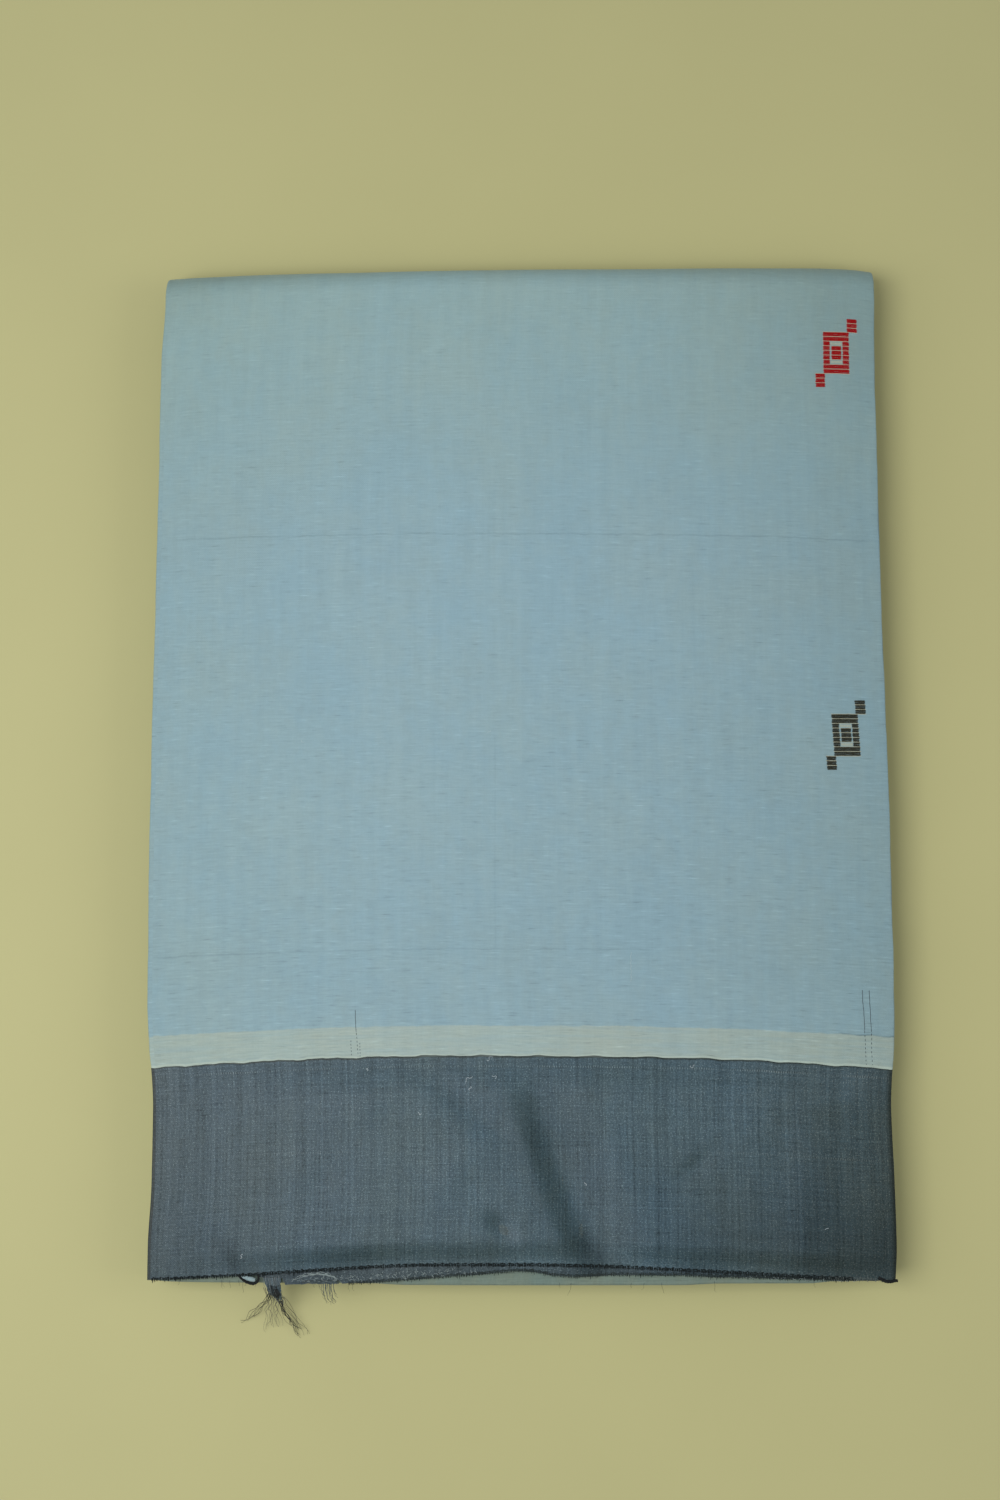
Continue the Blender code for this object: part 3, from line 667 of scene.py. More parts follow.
def quads(index):
    """The four corners of every cell in a grid of point numbers, one face a row."""
    corners = [index[..., :-1, :-1], index[..., :-1, 1:], index[..., 1:, 1:], index[..., 1:, :-1]]
    return np.stack(corners, axis=-1).reshape(-1, 4)


def closed(grid):
    """The grid with its first column once more after the last one, so that its cells go all round."""
    return np.concatenate([grid, grid[..., :1]], axis=-1)


def numbered(*shape):
    """Point numbers in a grid of this shape."""
    return np.arange(math.prod(shape)).reshape(shape)


def skin(sections, along):
    """Quads between neighbouring closed sections, with a flat face on each end, and a UV for every corner.

    The UV runs round the section with the length of its own outline, and along with the given values.
    """
    rows, count = sections.shape[:2]
    index = numbered(rows, count)
    corner = numbered(rows, count + 1)
    around = travelled(closed(sections[rows // 2].T).T) + sections[rows // 2, 0, 0]
    uv = places(around, closed(along)).reshape(-1, 2)
    order = np.concatenate([quads(corner).reshape(-1), corner[0, -2::-1], corner[-1, :-1]])
    faces = [*quads(closed(index)).tolist(), index[0, ::-1].tolist(), index[-1].tolist()]
    return sections.reshape(-1, 3), faces, uv[order]


def sheet(grid, uv, thickness):
    """A thin sheet round a grid of points: half its thickness on each side along the normal, and a rim."""
    normal = unit(np.cross(np.gradient(grid, axis=1), np.gradient(grid, axis=0)))
    points = np.concatenate([grid + normal * thickness / 2, grid - normal * thickness / 2]).reshape(-1, 3)
    front = numbered(*grid.shape[:2])
    rim = np.concatenate([front[0], front[1:, -1], front[-1, -2::-1], front[-2:0:-1, 0]])
    band = closed(np.stack([rim, rim + front.size])).T
    faces = np.concatenate([quads(front), quads(front.T + front.size), quads(band)])
    return points, faces.tolist(), np.tile(uv.reshape(-1, 2), (2, 1))[faces.reshape(-1)]


def tubes(paths, radii, sides=5, guide=(1.0, 0.0, 0.0)):
    """Closed tubes round many paths at once: paths is (threads, steps, 3), and radii (threads, steps)."""
    forward = unit(np.gradient(paths, axis=1))
    side = unit(np.cross(forward, guide))
    up = np.cross(side, forward)
    angles = np.arange(sides) * TURN / sides
    ring = np.cos(angles)[:, None] * side[:, :, None] + np.sin(angles)[:, None] * up[:, :, None]
    points = paths[:, :, None] + radii[:, :, None, None] * ring
    index = numbered(*paths.shape[:2], sides)
    faces = [*quads(closed(index))[:, ::-1].tolist(), *index[:, 0].tolist(), *index[:, -1, ::-1].tolist()]
    return points.reshape(-1, 3), faces, None


def laid_thread(path, radius, sides=5, guide=UPWARDS):
    """One even thread along a path."""
    return tubes(path[None], np.full((1, len(path)), radius), sides, guide)


def joined(*parts):
    """Several builders' results as one."""
    points, faces, uvs = zip(*parts)
    firsts = np.cumsum([0] + [len(each) for each in points]).tolist()
    shifted = [[corner + first for corner in face] for first, each in zip(firsts, faces) for face in each]
    return np.concatenate(points), shifted, None if uvs[0] is None else np.concatenate(uvs)


def add_piece(name, built, material, **kept):
    """Makes the mesh in the part's place, with its UV map, material and smooth shading.

    What is kept is one number a point, for the material to read by its name.
    """
    points, faces, uvs = built
    mesh = bpy.data.meshes.new(name)
    mesh.from_pydata((points + SHIFT).tolist(), [], faces)
    if uvs is not None:
        layer = mesh.uv_layers.new(name="cloth")
        layer.data.foreach_set("uv", np.ascontiguousarray(uvs, dtype=np.float32).reshape(-1))
    for label, values in kept.items():
        attribute = mesh.attributes.new(label, "FLOAT", "POINT")
        attribute.data.foreach_set("value", np.ascontiguousarray(values, dtype=np.float32))
    mesh.shade_smooth()
    mesh.set_sharp_from_angle(angle=math.radians(50))
    mesh.materials.append(material)
    piece = add_object(name, mesh)
    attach(piece, "root")
    print(name, "has", len(faces), "faces")
    return piece


# %% [markdown]
# ## Where the weft runs
# A weft is beaten straight across, yet in the folded cloth it bows: its ends trail towards the foot,
# more so near the slate end. The UV map takes this bow out, so stripes in the shader follow the threads.

# %% The bow of the weft
# along, how far the weft's ends trail
WEFT_BOW = np.array([(-200, 6.2), (-116, 5.4), (-74, 4.3), (90, 3.3), (202, 1.5)]) * MM
JOIN_TOP = JOIN_LINE[:, 1].max()
JOIN_DEPTH = JOIN_TOP - JOIN_LINE[:, 1].min()
SCALLOP_REACH = 7 * MM


def scallops(across):
    """The join's small unevenness: shallow scallops a little over a centimetre wide."""
    return wander(across, 66, 21 * MM, 0.42 * MM)


def weft_bow(across, along):
    """How far the weft at this place lies below its highest point: the join's own curve, scaled.

    Close to the join it follows the scallops too.
    """
    smooth_join = curve_through(JOIN_LINE, across)
    near = 1 - smooth_step(np.abs(along - smooth_join) / SCALLOP_REACH)
    share = (smooth_join - JOIN_TOP) / JOIN_DEPTH
    return share * straight_through(WEFT_BOW, along) + near * scallops(across)


print("the weft's ends trail by up to", WEFT_BOW[0, 1] / MM, "mm")

# %% [markdown]
# ## The hidden layers
# Only the edges of the inner stretches show, so their skin is coarse across and fine along. The strip is
# a little narrower in some slots than in others, as the solid has it.

# %% Inner folds
INNER_BLUE = (0.22, 0.33, 0.37)


def ribbon(sections, run):
    """A skin round sections of the strip, and its length. Its UV runs along with the length travelled."""
    return skin(settle(sections), np.tile(run[:, None], (1, sections.shape[1]))), run[-1]


def inner_run(first, start, last, stop, seed):
    """A skin on a walk, its two edges drawn in by an uneven amount that is steady along a strip."""
    rows = walk(first, start, last, stop, 8 * MM)
    rng = np.random.default_rng(5)
    heights = level(np.arange(STRIPS, 0, -1))
    left, right = (np.interp(rows[:, 1], heights, rng.uniform(-0.5, most, STRIPS)) for most in (1.1, 1.3))
    sections = strip_sections(rows, left * MM, right * MM, top_count=12, under_count=12, seed=seed)
    return ribbon(sections, travelled(rows))


inner_cotton = plain_cotton("blue cotton, inner", INNER_BLUE, slubs=0.12, streaks=0.06, bands=0.06, grain=0.1)
first_run, first_length = inner_run(1, UNDERSIDE_SEAM, 7, UNDER_FOLD_BACK, seed=20)
second_run, second_length = inner_run(8, UNDER_FOLD_BACK, 15, LOWER_PLY_BACK, seed=40)
inner_folds = add_piece("inner_folds", joined(first_run, second_run), inner_cotton)
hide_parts("hidden_layers")

# %% [markdown]
# ## The blue face
# The top stretch runs from the join with the slate, over the bundle and round its head to a seam that
# lies underneath. Its face is a fine grid, with the slow rise and fall of cloth that was smoothed by hand.
# Each face also keeps painted light and shade, from a table of soft spots that lighten or darken its colour.

# %% Blue face: form
TOP_STEP = 1.9 * MM
TOP_COLUMNS = 150
# soft spots of painted light and shade: middle across and along, half sizes, turn, how much lighter
BLUE_PAINTED_SHADING = [
    (190, 0, 150, 900, 0, -0.11),
    (0, 206.5, 400, 2.4, 0, 0.19),
    (-124, 196, 24, 7, 0, -0.035),
    (-28, 202, 40, 6, 0, 0.03),
    (-124, 202.6, 20, 1.7, 1.5, -0.045),
    (150, 185, 55, 38, 0, -0.08),
    (-146, 195, 10, 14, 0, -0.07),
    (10, 70, 90, 45, 0, 0.025),
    (-60, -85, 170, 38, 0, -0.035),
    (-147, 0, 7, 220, 0, -0.04),
]


def blue_relief(across, along):
    """Slow unevenness of the blue face, a tenth of a millimetre or so, fading out at its edges."""
    slow = wander(across + 0.35 * along, 61, 210 * MM, 0.16 * MM) + wander(along, 62, 260 * MM, 0.1 * MM)
    fine = wander(across - 0.2 * along, 63, 60 * MM, 0.04 * MM)
    return (slow + fine) * smooth_step((HALF_STRIP - np.abs(across)) / (30 * MM))


def top_run():
    """The ribbon of the top stretch: its first row follows the join, and the rest straighten by the head."""
    rows = walk(0, JOIN_TOP, 1, UNDERSIDE_SEAM, TOP_STEP)
    sections = strip_sections(rows, 0.0, 0.0, TOP_COLUMNS, under_count=20, seed=70, relief=blue_relief)
    across = sections[..., 0]
    run = travelled(rows)[:, None]
    straight_share = np.clip(1 - run / (HEAD_CENTRE - JOIN_TOP), 0, 1)
    trail = (curve_through(JOIN_LINE, across) - JOIN_TOP) * straight_share
    trail = trail + scallops(across) * (1 - smooth_step(run / SCALLOP_REACH))
    sections[..., 1] += trail
    place = JOIN_TOP + run + trail
    # painted light and shade on the blue face, kept at its points
    tone = 1 + bells(BLUE_PAINTED_SHADING, across, place)
    return skin(settle(sections), place - weft_bow(across, place)), run[-1, 0], tone.reshape(-1)


top_built, top_length, top_tone = top_run()
print("top stretch is", round(top_length, 3), "m long")

# %% [markdown]
# ## The blue face: its weave
# The blue is crossed by two darker wefts, and ends in a pale band with a light line at the join.
# Each is a soft line at its own place along the UV map.

# %% Blue cotton
BAND_FROM = -104.1 * MM
BAND_WIDTH = 60 * MM
BLUE = (0.240, 0.366, 0.420)
BAND_BLUE = (0.322, 0.408, 0.386)
JOIN_LIGHT_LINE = (0.42, 0.50, 0.43)
DARK_YARN = (0.0, 0.02, 0.03)
# painted shade along the sides, and a painted yellow cast of bounce light towards the head fold
PAINTED_SIDE_SHADE = (0.94, 0.94, 0.91)
PAINTED_HEAD_CAST = (1.06, 1.03, 0.91)
SIDE_REACH = (55 * MM, 146 * MM)
HEAD_REACH = (90 * MM, 214 * MM)
# place along, where it starts and ends across, strength
DARK_WEFTS = [
    (93.2, -136, 136, 0.13),
    (-73.7, -148, 44, 0.11),
    (-56, 60, 112, 0.04),
    (38, -60, 20, 0.04),
    (-103.6, 128, 148, 0.30),
]
# place across, where it starts and ends along, strength
DARK_WARPS = [(-10.6, -27.8, 9.4, 0.05), (-10.7, -71.0, -33.8, 0.045)]


def side_share(across):
    """0 over most of the cloth, rising towards its two long edges."""
    return across.ramp(*SIDE_REACH)


def painted_edge_light(tree, across, along, color):
    """Painted shade along the long edges, and a painted yellow cast of bounce light towards the head fold."""
    color = blend_colors(tree, side_share(across.math("ABSOLUTE")), color, PAINTED_SIDE_SHADE, "MULTIPLY")
    return blend_colors(tree, along.ramp(*HEAD_REACH), color, PAINTED_HEAD_CAST, "MULTIPLY")


def kept_on_mesh(tree, name):
    """A number that the mesh keeps at its points."""
    return term(tree, "ShaderNodeAttribute", output="Fac", attribute_name=name)


def with_dark_threads(tree, color, table, at, beside, half_width, softness, patchy):
    """The colour with dark threads at places of one coordinate, between two places of the other."""
    for place, start, end, strength in table:
        line = line_mask(at, place * MM, half_width, 0.30 * MM)
        reach = line_mask(beside, (start + end) / 2 * MM, (end - start) / 2 * MM, softness)
        share = line * reach * patchy.times_plus(strength * 3, strength)
        color = blend_colors(tree, share, color, DARK_YARN)
    return color


def blue_cotton():
    """The blue weave, paler in the band, with painted light and shade, a light line at the join and dark
    threads.
    """
    material, tree, shader = start_material("blue cotton", 0.62, 0.05, 0.35)
    cloth, across, along = cloth_map(tree)
    slubs = along.ramp(-60 * MM, 180 * MM, 0.19, 0.11)
    strengths = {"long_wefts": 0.06, "streaks": 0.04, "long_warps": 0.03, "bands": 0.06, "grain": 0.10}
    shade, tint, height = weave_node(tree, cloth, slubs=slubs, clouds=0.14, **strengths)
    uneven = stretched_noise(tree, cloth, 5 * MM, 200 * MM).times_plus(1.1 * MM, along)
    band = line_mask(uneven, BAND_FROM - BAND_WIDTH / 2, BAND_WIDTH / 2, 0.7 * MM)
    pale = band * stretched_noise(tree, cloth, 40 * MM, 1.6 * MM).times_plus(0.9, 0.95)
    color = blend_colors(tree, pale, tinted(tree, BLUE, tint, 0.03), tinted(tree, BAND_BLUE, tint, 0.03))
    # painted shade along the sides, a painted yellow cast towards the head, and the mesh's painted light and
    # shade
    color = blend_colors(tree, 1.0, painted_edge_light(tree, across, along, color), kept_on_mesh(tree, "tone"), "MULTIPLY")
    join_light_line = line_mask(along, JOIN_TOP, 0.30 * MM, 0.45 * MM) * 0.5
    color = blend_colors(tree, join_light_line, color, JOIN_LIGHT_LINE)
    patchy = stretched_noise(tree, cloth, 9 * MM, 3 * MM)
    color = with_dark_threads(tree, color, DARK_WEFTS, uneven, across, 0.16 * MM, 9 * MM, patchy)
    color = with_dark_threads(tree, color, DARK_WARPS, across, along, 0.14 * MM, 3 * MM, patchy)
    finish_cotton(tree, shader, color, shade, height)
    return material


top_cloth = add_piece("top_cloth", top_built, blue_cotton(), tone=top_tone)
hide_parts("top_stretch")

# %% [markdown]
# ## The slate end
# The end of the sari is woven in slate, and its four plies are cut across and left raw. Here each ply is
# a real thin sheet: one path across goes from a selvedge round the folds to the other selvedge, and the
# cut line of each ply wanders on its own, so the layers show at the foot. The plies lie loosely, with a
# soft diagonal trough that drops sharply on its left and rises slowly on its right, and a few dimples.

# %% Slate end: how it lies
SLATE_LIFT = 2.2 * MM
LIFT_FROM_JOIN = 16 * MM
LIFT_FROM_LEFT = 90 * MM
LIFT_FROM_RIGHT = 36 * MM
LIFT_FROM_CUT = 10 * MM
LIFT_LEFT_AT_CUT = 0.45
TROUGH_LEFT = 13 * MM
TROUGH_RIGHT = 26 * MM
# along, where its bottom lies across, share of the lift that it takes away
TROUGH = np.array([
    (-203, 34.2, 1.0), (-190, 27, 1.0), (-172, 19.6, 0.9), (-152, 12.6, 0.88),
    (-142, 8.8, 0.62), (-130, 5.8, 0.45), (-118, 3.4, 0.3),
]) * (MM, MM, 1)
# across, share of the lift that the rolled cut edge takes away
CUT_ROLL = np.array([
    (-114, 0), (-94, 0.6), (-60, 0.7), (-40, 0.5), (-12, 0.1), (44, 0.1), (68, 0.6), (148, 0.85),
]) * (MM, 1)
# soft hollows with their depths in mm, and swellings where the depth is negative
DIMPLES = [
    (-20, -136, 24, 6.5, -38, 0.85),
    (-8.5, -182, 6.5, 3.2, -40, 0.95),
    (68.8, -158.1, 9, 3.6, 35, 0.36),
    (-79.3, -165.7, 10, 5, 70, 0.26),
    (-95.1, -147.4, 22, 5, 0, 0.26),
    (-121.5, -192, 9, 3.4, -60, 0.42),
    (-65.7, -137.5, 12, 6, 20, -0.20),
    (-27.9, -161.6, 11, 7, 60, -0.25),
    (47.6, -133.8, 14, 7, -30, -0.16),
    (104, -150, 9, 30, -10, 0.30),
]


def slate_lift(across, along):
    """How far the loose slate plies stand off the pile."""
    from_join = smooth_step((curve_through(JOIN_LINE, across) - along) / LIFT_FROM_JOIN)
    from_left = smooth_step((HALF_STRIP + across) / LIFT_FROM_LEFT)
    from_right = np.clip((HALF_STRIP - across) / LIFT_FROM_RIGHT, 0, 1) ** 0.8
    near_cut = 1 - smooth_step((along - curve_through(UPPER_CUT, across)) / LIFT_FROM_CUT)
    at_cut = 1 - near_cut * np.maximum(1 - LIFT_LEFT_AT_CUT, straight_through(CUT_ROLL, across))
    off = across - straight_through(TROUGH, along)
    bank = np.where(off < 0, -off / TROUGH_LEFT, off / TROUGH_RIGHT)
    trough = straight_through(TROUGH, along, 2) * (1 - smooth_step(bank))
    lift = SLATE_LIFT * at_cut * (1 - trough) - bells(DIMPLES, across, along) * MM
    return np.maximum(lift, 0.0) * from_join * from_left * from_right


print("slate plies stand off by up to", SLATE_LIFT / MM, "mm")

# %% Slate end: the folded plies
PLY = 0.22 * MM
PLY_PITCH = 0.265 * MM
# how much longer than the cut line each ply is, and how far its edge wanders
PLY_ENDS = [(0.0, 0.12), (-0.55, 0.35), (0.1, 0.4), (0.35, 0.35)]
# soft spots of painted light and shade: middle across and along, half sizes, turn, how much lighter
SLATE_PAINTED_SHADING = [
    (-146, -160, 60, 200, 0, -0.19),
    (125, -165, 45, 200, 0, -0.11),
    (4, -160, 8, 60, 0, -0.05),
    (-138, -190, 26, 16, 0, -0.08),
    (-113, -194, 8, 3.5, -60, -0.25),
    (-32, -160, 36, 60, 0, 0.09),
    (-22, -168, 22, 9, -35, 0.07),
    (-13, -134, 18, 7, -38, -0.12),
    (0, -151, 6, 8, 0, -0.14),
    (21, -147, 28, 10, -72, -0.12),
    (85, -135, 55, 22, 0, 0.19),
    (100, -186, 38, 14, 0, -0.16),
    (112, -180, 4, 30, 0, -0.09),
    (138, -192, 12, 14, 0, -0.14),
    (141, -156, 14, 30, 0, 0.08),
    (92, -197.5, 22, 4.5, 0, 0.29),
    (50, -195.5, 15, 4.5, 0, 0.27),
    (5, -195, 13, 4.5, 0, 0.45),
    (-38, -195, 16, 4, 0, 0.16),
    (-87, -196.5, 17, 4, 0, 0.10),
    (27, -191.8, 10, 5, -40, -0.36),
]


def ply_path(columns, hidden_columns):
    """The cloth's path across, folded in four: (across, height) rows, and which ply each row is on.

    It goes from the lower selvedge round the outer fold, over the top, round the thin fold on the open
    side, and back between the plies to the inner selvedge.
    """
    outer, inner = 1.5 * PLY_PITCH, 0.5 * PLY_PITCH
    left_outer = -HALF_STRIP + outer
    left_inner = left_outer + 0.3 * MM
    right_fold = HALF_STRIP - inner
    parts = [
        (places(np.linspace(HALF_STRIP - 0.5 * MM, left_outer, hidden_columns), -outer), 3),
        (half_turn((left_outer, 0.0), outer, -1, True, 7), 3),
        (places(np.linspace(left_outer, right_fold, columns), outer), 0),
        (half_turn((right_fold, 2 * inner), inner, 1, False, 5), 0),
        (places(np.linspace(right_fold, left_inner, hidden_columns), inner), 1),
        (half_turn((left_inner, 0.0), inner, -1, False, 5), 2),
        (places(np.linspace(left_inner, HALF_STRIP - 0.9 * MM, hidden_columns), -inner), 2),
    ]
    plies = np.concatenate([np.full(len(rows), ply) for rows, ply in parts])
    return np.concatenate([rows for rows, _ in parts]), plies


def crease(across, along):
    """How steeply the slate falls towards the right and the foot, 0 to 1 at a slope of one in five: its
    painted shade.
    """
    def height(x, y):
        return settle(places(x, y, level(1)))[..., 2] + slate_lift(x, y)

    step = 1 * MM
    to_right = (height(across - step, along) - height(across + step, along)) / (2 * step)
    to_foot = (height(across, along + step) - height(across, along - step)) / (2 * step)
    return np.clip((0.8 * to_right + 0.7 * to_foot) / 0.2, 0, 1)


def slate_plies(slot, cut, back, shares, columns, seed):
    """The four plies of a slate end as one folded sheet, from its cut edge to its back line.

    The shares say how far along from the cut each row of points lies. It gives what is built, and the
    share of painted slope shade and the painted light and shade at every point of its two faces.
    """
    path, ply = ply_path(columns, 40)
    across, offset = path.T
    edge = cut(across)
    for which, (longer, most) in enumerate(PLY_ENDS):
        uneven = longer * MM + wander(across, seed + which, 23 * MM, most * MM)
        edge = edge - np.where(ply == which, uneven, 0.0)
    shares = np.concatenate([[0, 0.006, 0.014], shares])[:, None]
    along = edge * (1 - shares) + back(across) * shares
    wide = np.broadcast_to(across, along.shape)
    grid = settle(places(wide, along, level(slot) + offset))
    grid[..., 2] += slate_lift(wide, along)
    built = sheet(grid, places(travelled(path), along - weft_bow(wide, along)), PLY)
    tone = 1 + bells(SLATE_PAINTED_SHADING, wide, along)
    return built, np.tile(crease(wide, along).reshape(-1), 2), np.tile(tone.reshape(-1), 2)


upper_plies, upper_crease, upper_tone = slate_plies(
    1,
    lambda x: curve_through(UPPER_CUT, x),
    lambda x: curve_through(JOIN_LINE, x) + scallops(x),
    np.linspace(0.025, 1, 66),
    columns=200,
    seed=90,
)
lower_plies, lower_crease, lower_tone = slate_plies(
    2,
    lambda x: straight_through(LOWER_CUT, x),
    lambda x: LOWER_PLY_BACK,
    np.concatenate([np.linspace(0.025, 0.2, 12), np.linspace(0.25, 1, 12)]),
    columns=290,
    seed=95,
)
print("slate plies laid")

# %% [markdown]
# ## Slate cotton
# The slate weave is closer than the blue one. Long fine streaks run along its warp, and tiny pale specks
# show where the other colour of the mixed yarn comes up. The yarn is smooth and a little glossy, so the
# cloth looks lighter where it faces the light. On slopes that fall towards the right or the foot, shade
# is painted too: a darker, warmer colour and a duller gloss.

# %% Slate cotton and the two slate ends
SLATE = (0.0375, 0.0715, 0.092)
SPECK = (0.20, 0.27, 0.29)
PAINTED_JOIN_SHADOW = (0.010, 0.020, 0.017)
DARK_DOT = (0.012, 0.020, 0.022)
PAINTED_FOLD_SHADE = (0.012, 0.020, 0.018)
# painted shade that darkens and warms a slope falling away, and a warmer colour towards the right side
PAINTED_SLOPE_DARK = (0.0, 0.005, 0.005)
PAINTED_SLOPE_WARMTH = (1.0, 0.93, 0.84)
SIDE_WARMTH = (1.20, 1.02, 0.91)
SLATE_GLOSS = 0.365
# the two edge folds of the upper face, as places on the path across, and how far the shade painted at each
# reaches
FACE_EDGES = [(0.2925, 0.6 * MM), (0.5840, 2.4 * MM)]
FACE_MIDDLE = 0.438
# place along, strength: wefts with a row of pale and dark dots
DOTTED_WEFTS = [(-119.7 * MM, 0.45), (-151.8 * MM, 0.25)]
DOT_PITCH = 0.95 * MM


def slate_cotton(name, darker=1.0):
    """Slate with its specks and dotted wefts, and painted light and shade: at its join, folds and slopes, and
    from the mesh.
    """
    material, tree, shader = start_material(name, 0.44, 0.03)
    cloth, across, along = cloth_map(tree)
    strengths = {"slubs": 0.22, "long_wefts": 0.34, "streaks": 0.34, "long_warps": 0.62, "bands": 0.14}
    shade, tint, height = weave_node(tree, cloth, grain=0.85, clouds=0.20, **strengths)
    color = tinted(tree, [c * darker for c in SLATE], tint, 0.06)
    specks = stretched_noise(tree, cloth, 0.55 * MM, 0.45 * MM, 1.0).ramp(0.12, 0.24)
    color = blend_colors(tree, specks * 0.42, color, SPECK)
    # a painted shadow along the join with the blue
    join_shadow = line_mask(along, JOIN_TOP, 0.55 * MM, 0.5 * MM) * 0.85
    color = blend_colors(tree, join_shadow, color, PAINTED_JOIN_SHADOW)
    dots = (across * (TURN / DOT_PITCH)).math("SINE")
    patchy = stretched_noise(tree, cloth, 21 * MM, 3 * MM)
    for at, strength in DOTTED_WEFTS:
        share = patchy.times_plus(strength * 3, strength * 0.6).math("MAXIMUM", 0.0)
        here = line_mask(along, at, 0.16 * MM, 0.35 * MM) * share
        color = blend_colors(tree, dots.math("MAXIMUM", 0.0) * here, color, SPECK)
        color = blend_colors(tree, (dots * -1.0).math("MAXIMUM", 0.0) * here, color, DARK_DOT)
    # painted shade along the two edge folds of the face
    for at, width in FACE_EDGES:
        fold = line_mask(across, at, 0.35 * MM, width) * 0.8
        color = blend_colors(tree, fold, color, PAINTED_FOLD_SHADE)
    # painted shade: a darker, warmer colour where the cloth falls towards the right or the foot
    falls = kept_on_mesh(tree, "crease")
    color = blend_colors(tree, falls * 0.34, color, PAINTED_SLOPE_DARK)
    color = blend_colors(tree, falls, color, PAINTED_SLOPE_WARMTH, "MULTIPLY")
    color = blend_colors(tree, side_share(across - FACE_MIDDLE), color, SIDE_WARMTH, "MULTIPLY")
    # painted light and shade kept on the mesh, on the colour and the gloss
    tone = kept_on_mesh(tree, "tone")
    finish_cotton(tree, shader, blend_colors(tree, 1.0, color, tone, "MULTIPLY"), shade, height, 0.8)
    # painted shade on the gloss too: duller on falling slopes, and following the painted light and shade
    gloss = shade * SLATE_GLOSS * falls.times_plus(-0.5, 1.0) * tone
    tree.links.new(gloss.socket, shader.inputs["Specular IOR Level"])
    return material


upper_cotton = slate_cotton("slate cotton")
slate_upper = add_piece("slate_upper", upper_plies, upper_cotton, crease=upper_crease, tone=upper_tone)
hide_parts("slate_end_upper")
# the lower ply is a darker copy of the same slate: painted shade under the upper ply's cut edge
lower_cotton = slate_cotton("slate cotton, lower end", 0.62)
slate_lower = add_piece("slate_lower", lower_plies, lower_cotton, crease=lower_crease, tone=lower_tone)
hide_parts("slate_end_lower")

# %% [markdown]
# ## The pale fold below the slate
# One turn of the strip reaches past the slate plies, and shows as a thin pale line along the foot. It is
# the same ribbon, with its fold moved to follow the line that the foot has.

# %% Pale fold
PALE_BLUE = (0.155, 0.205, 0.172)


def under_run():
    """A leg on slot 4, the fold that follows the under line, and a leg back on slot 3."""
    mean_line = UNDER_LINE[:, 1].mean()
    radius = PITCH / 2
    reach = mean_line + radius + HALF_WALL
    legs = np.linspace(UNDER_FOLD_BACK, reach, 12)
    bend = half_turn((reach, (level(3) + level(4)) / 2), radius, -1, True, 14)
    rows = np.concatenate([places(legs, level(4)), bend, places(legs[::-1], level(3))])
    sections = strip_sections(rows, 0.0, 0.0, top_count=90, under_count=90, seed=110)
    near = smooth_step((UNDER_FOLD_BACK + 10 * MM - rows[:, :1]) / (25 * MM))
    sections[..., 1] += (curve_through(UNDER_LINE, sections[..., 0]) - mean_line) * near
    return ribbon(sections, travelled(rows))


under_built, under_length = under_run()
pale_weave = {"slubs": 0.2, "streaks": 0.08, "bands": 0.1, "grain": 0.2}
inwards = (INNER_BLUE, under_length / 2)
pale_cotton = plain_cotton("pale blue cotton", PALE_BLUE, **pale_weave, inwards=inwards)
under_cloth = add_piece("under_cloth", under_built, pale_cotton)
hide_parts("under_fold")

# %% [markdown]
# ## Finding the surface
# The motifs, loose yarns and lint lie on the cloth. Their places are known from above, so two helpers
# give the height of the blue face and of the slate there: the straight layout's own formula, read back.

# %% Height of the cloth


def straight_across(x, y):
    """Place across in the straight layout of a place seen from above."""
    left, right = (curve_through(OUTLINE, y, side) for side in (1, 2))
    return ((x - left) / (right - left) - 0.5) * STRIP_WIDTH


def on_blue(x, y, above):
    """Points above the blue face at places across and along, in the bundle frame."""
    across = straight_across(x, y)
    points = settle(places(across, y, level(1) + HALF_WALL + blue_relief(across, y)))
    points[..., 2] += above
    return points


def on_slate(x, y, above, slot=1):
    """Points above a slate end at places across and along."""
    across = straight_across(x, y)
    points = settle(places(across, y, level(slot) + 1.5 * PLY_PITCH + PLY / 2))
    points[..., 2] += slate_lift(across, y) + above
    return points


middle_height = on_blue(np.zeros(1), np.zeros(1), 0.0)[0, 2]
print("height of the blue face at its middle:", round(middle_height / MM, 2), "mm")

# %% [markdown]
# ## The woven motifs
# Two small motifs are laid into the weave with extra wefts, a red one and a grey-brown one. Each is a
# little stepped box with a dot in it and three short bars at two corners. The chart below gives one row
# of bars for each pass of the extra weft. Each bar is four threads that dip under a warp thread at every
# step, so the bars stand up from the cloth as real threads do.

# %% Motif chart
# start and end of the bars in one row, as shares of the box's width
WHOLE = [(0.0, 1.0)]
SIDES = [(0.0, 0.26), (0.75, 1.0)]
DOTTED = [(0.0, 0.26), (0.32, 0.70), (0.75, 1.0)]
ABOVE = [(0.93, 1.32)]
BELOW = [(-0.31, 0.05)]
CHART = 3 * [ABOVE] + 2 * [WHOLE] + [SIDES] + 3 * [DOTTED] + [SIDES] + 2 * [WHOLE] + 3 * [BELOW]
THREADS_IN_BAR = 4
THREAD_SPACING = 0.222
BAR_THREAD = 0.205 * MM
BIND_STEP = 0.84 * MM
TUBE_STEP = 0.28 * MM
BAR_HEIGHT = 0.05 * MM
BAR_DIP = 0.045 * MM
BAR_END_DEPTH = 0.16 * MM
# left, width, top, pitch of the rows, slant
RED_PLACE = (123.5 * MM, 10.6 * MM, 182.2 * MM, 1.93 * MM, 0.0)
GREY_PLACE = (124.0 * MM, 10.6 * MM, 25.3 * MM, 1.88 * MM, 0.06)


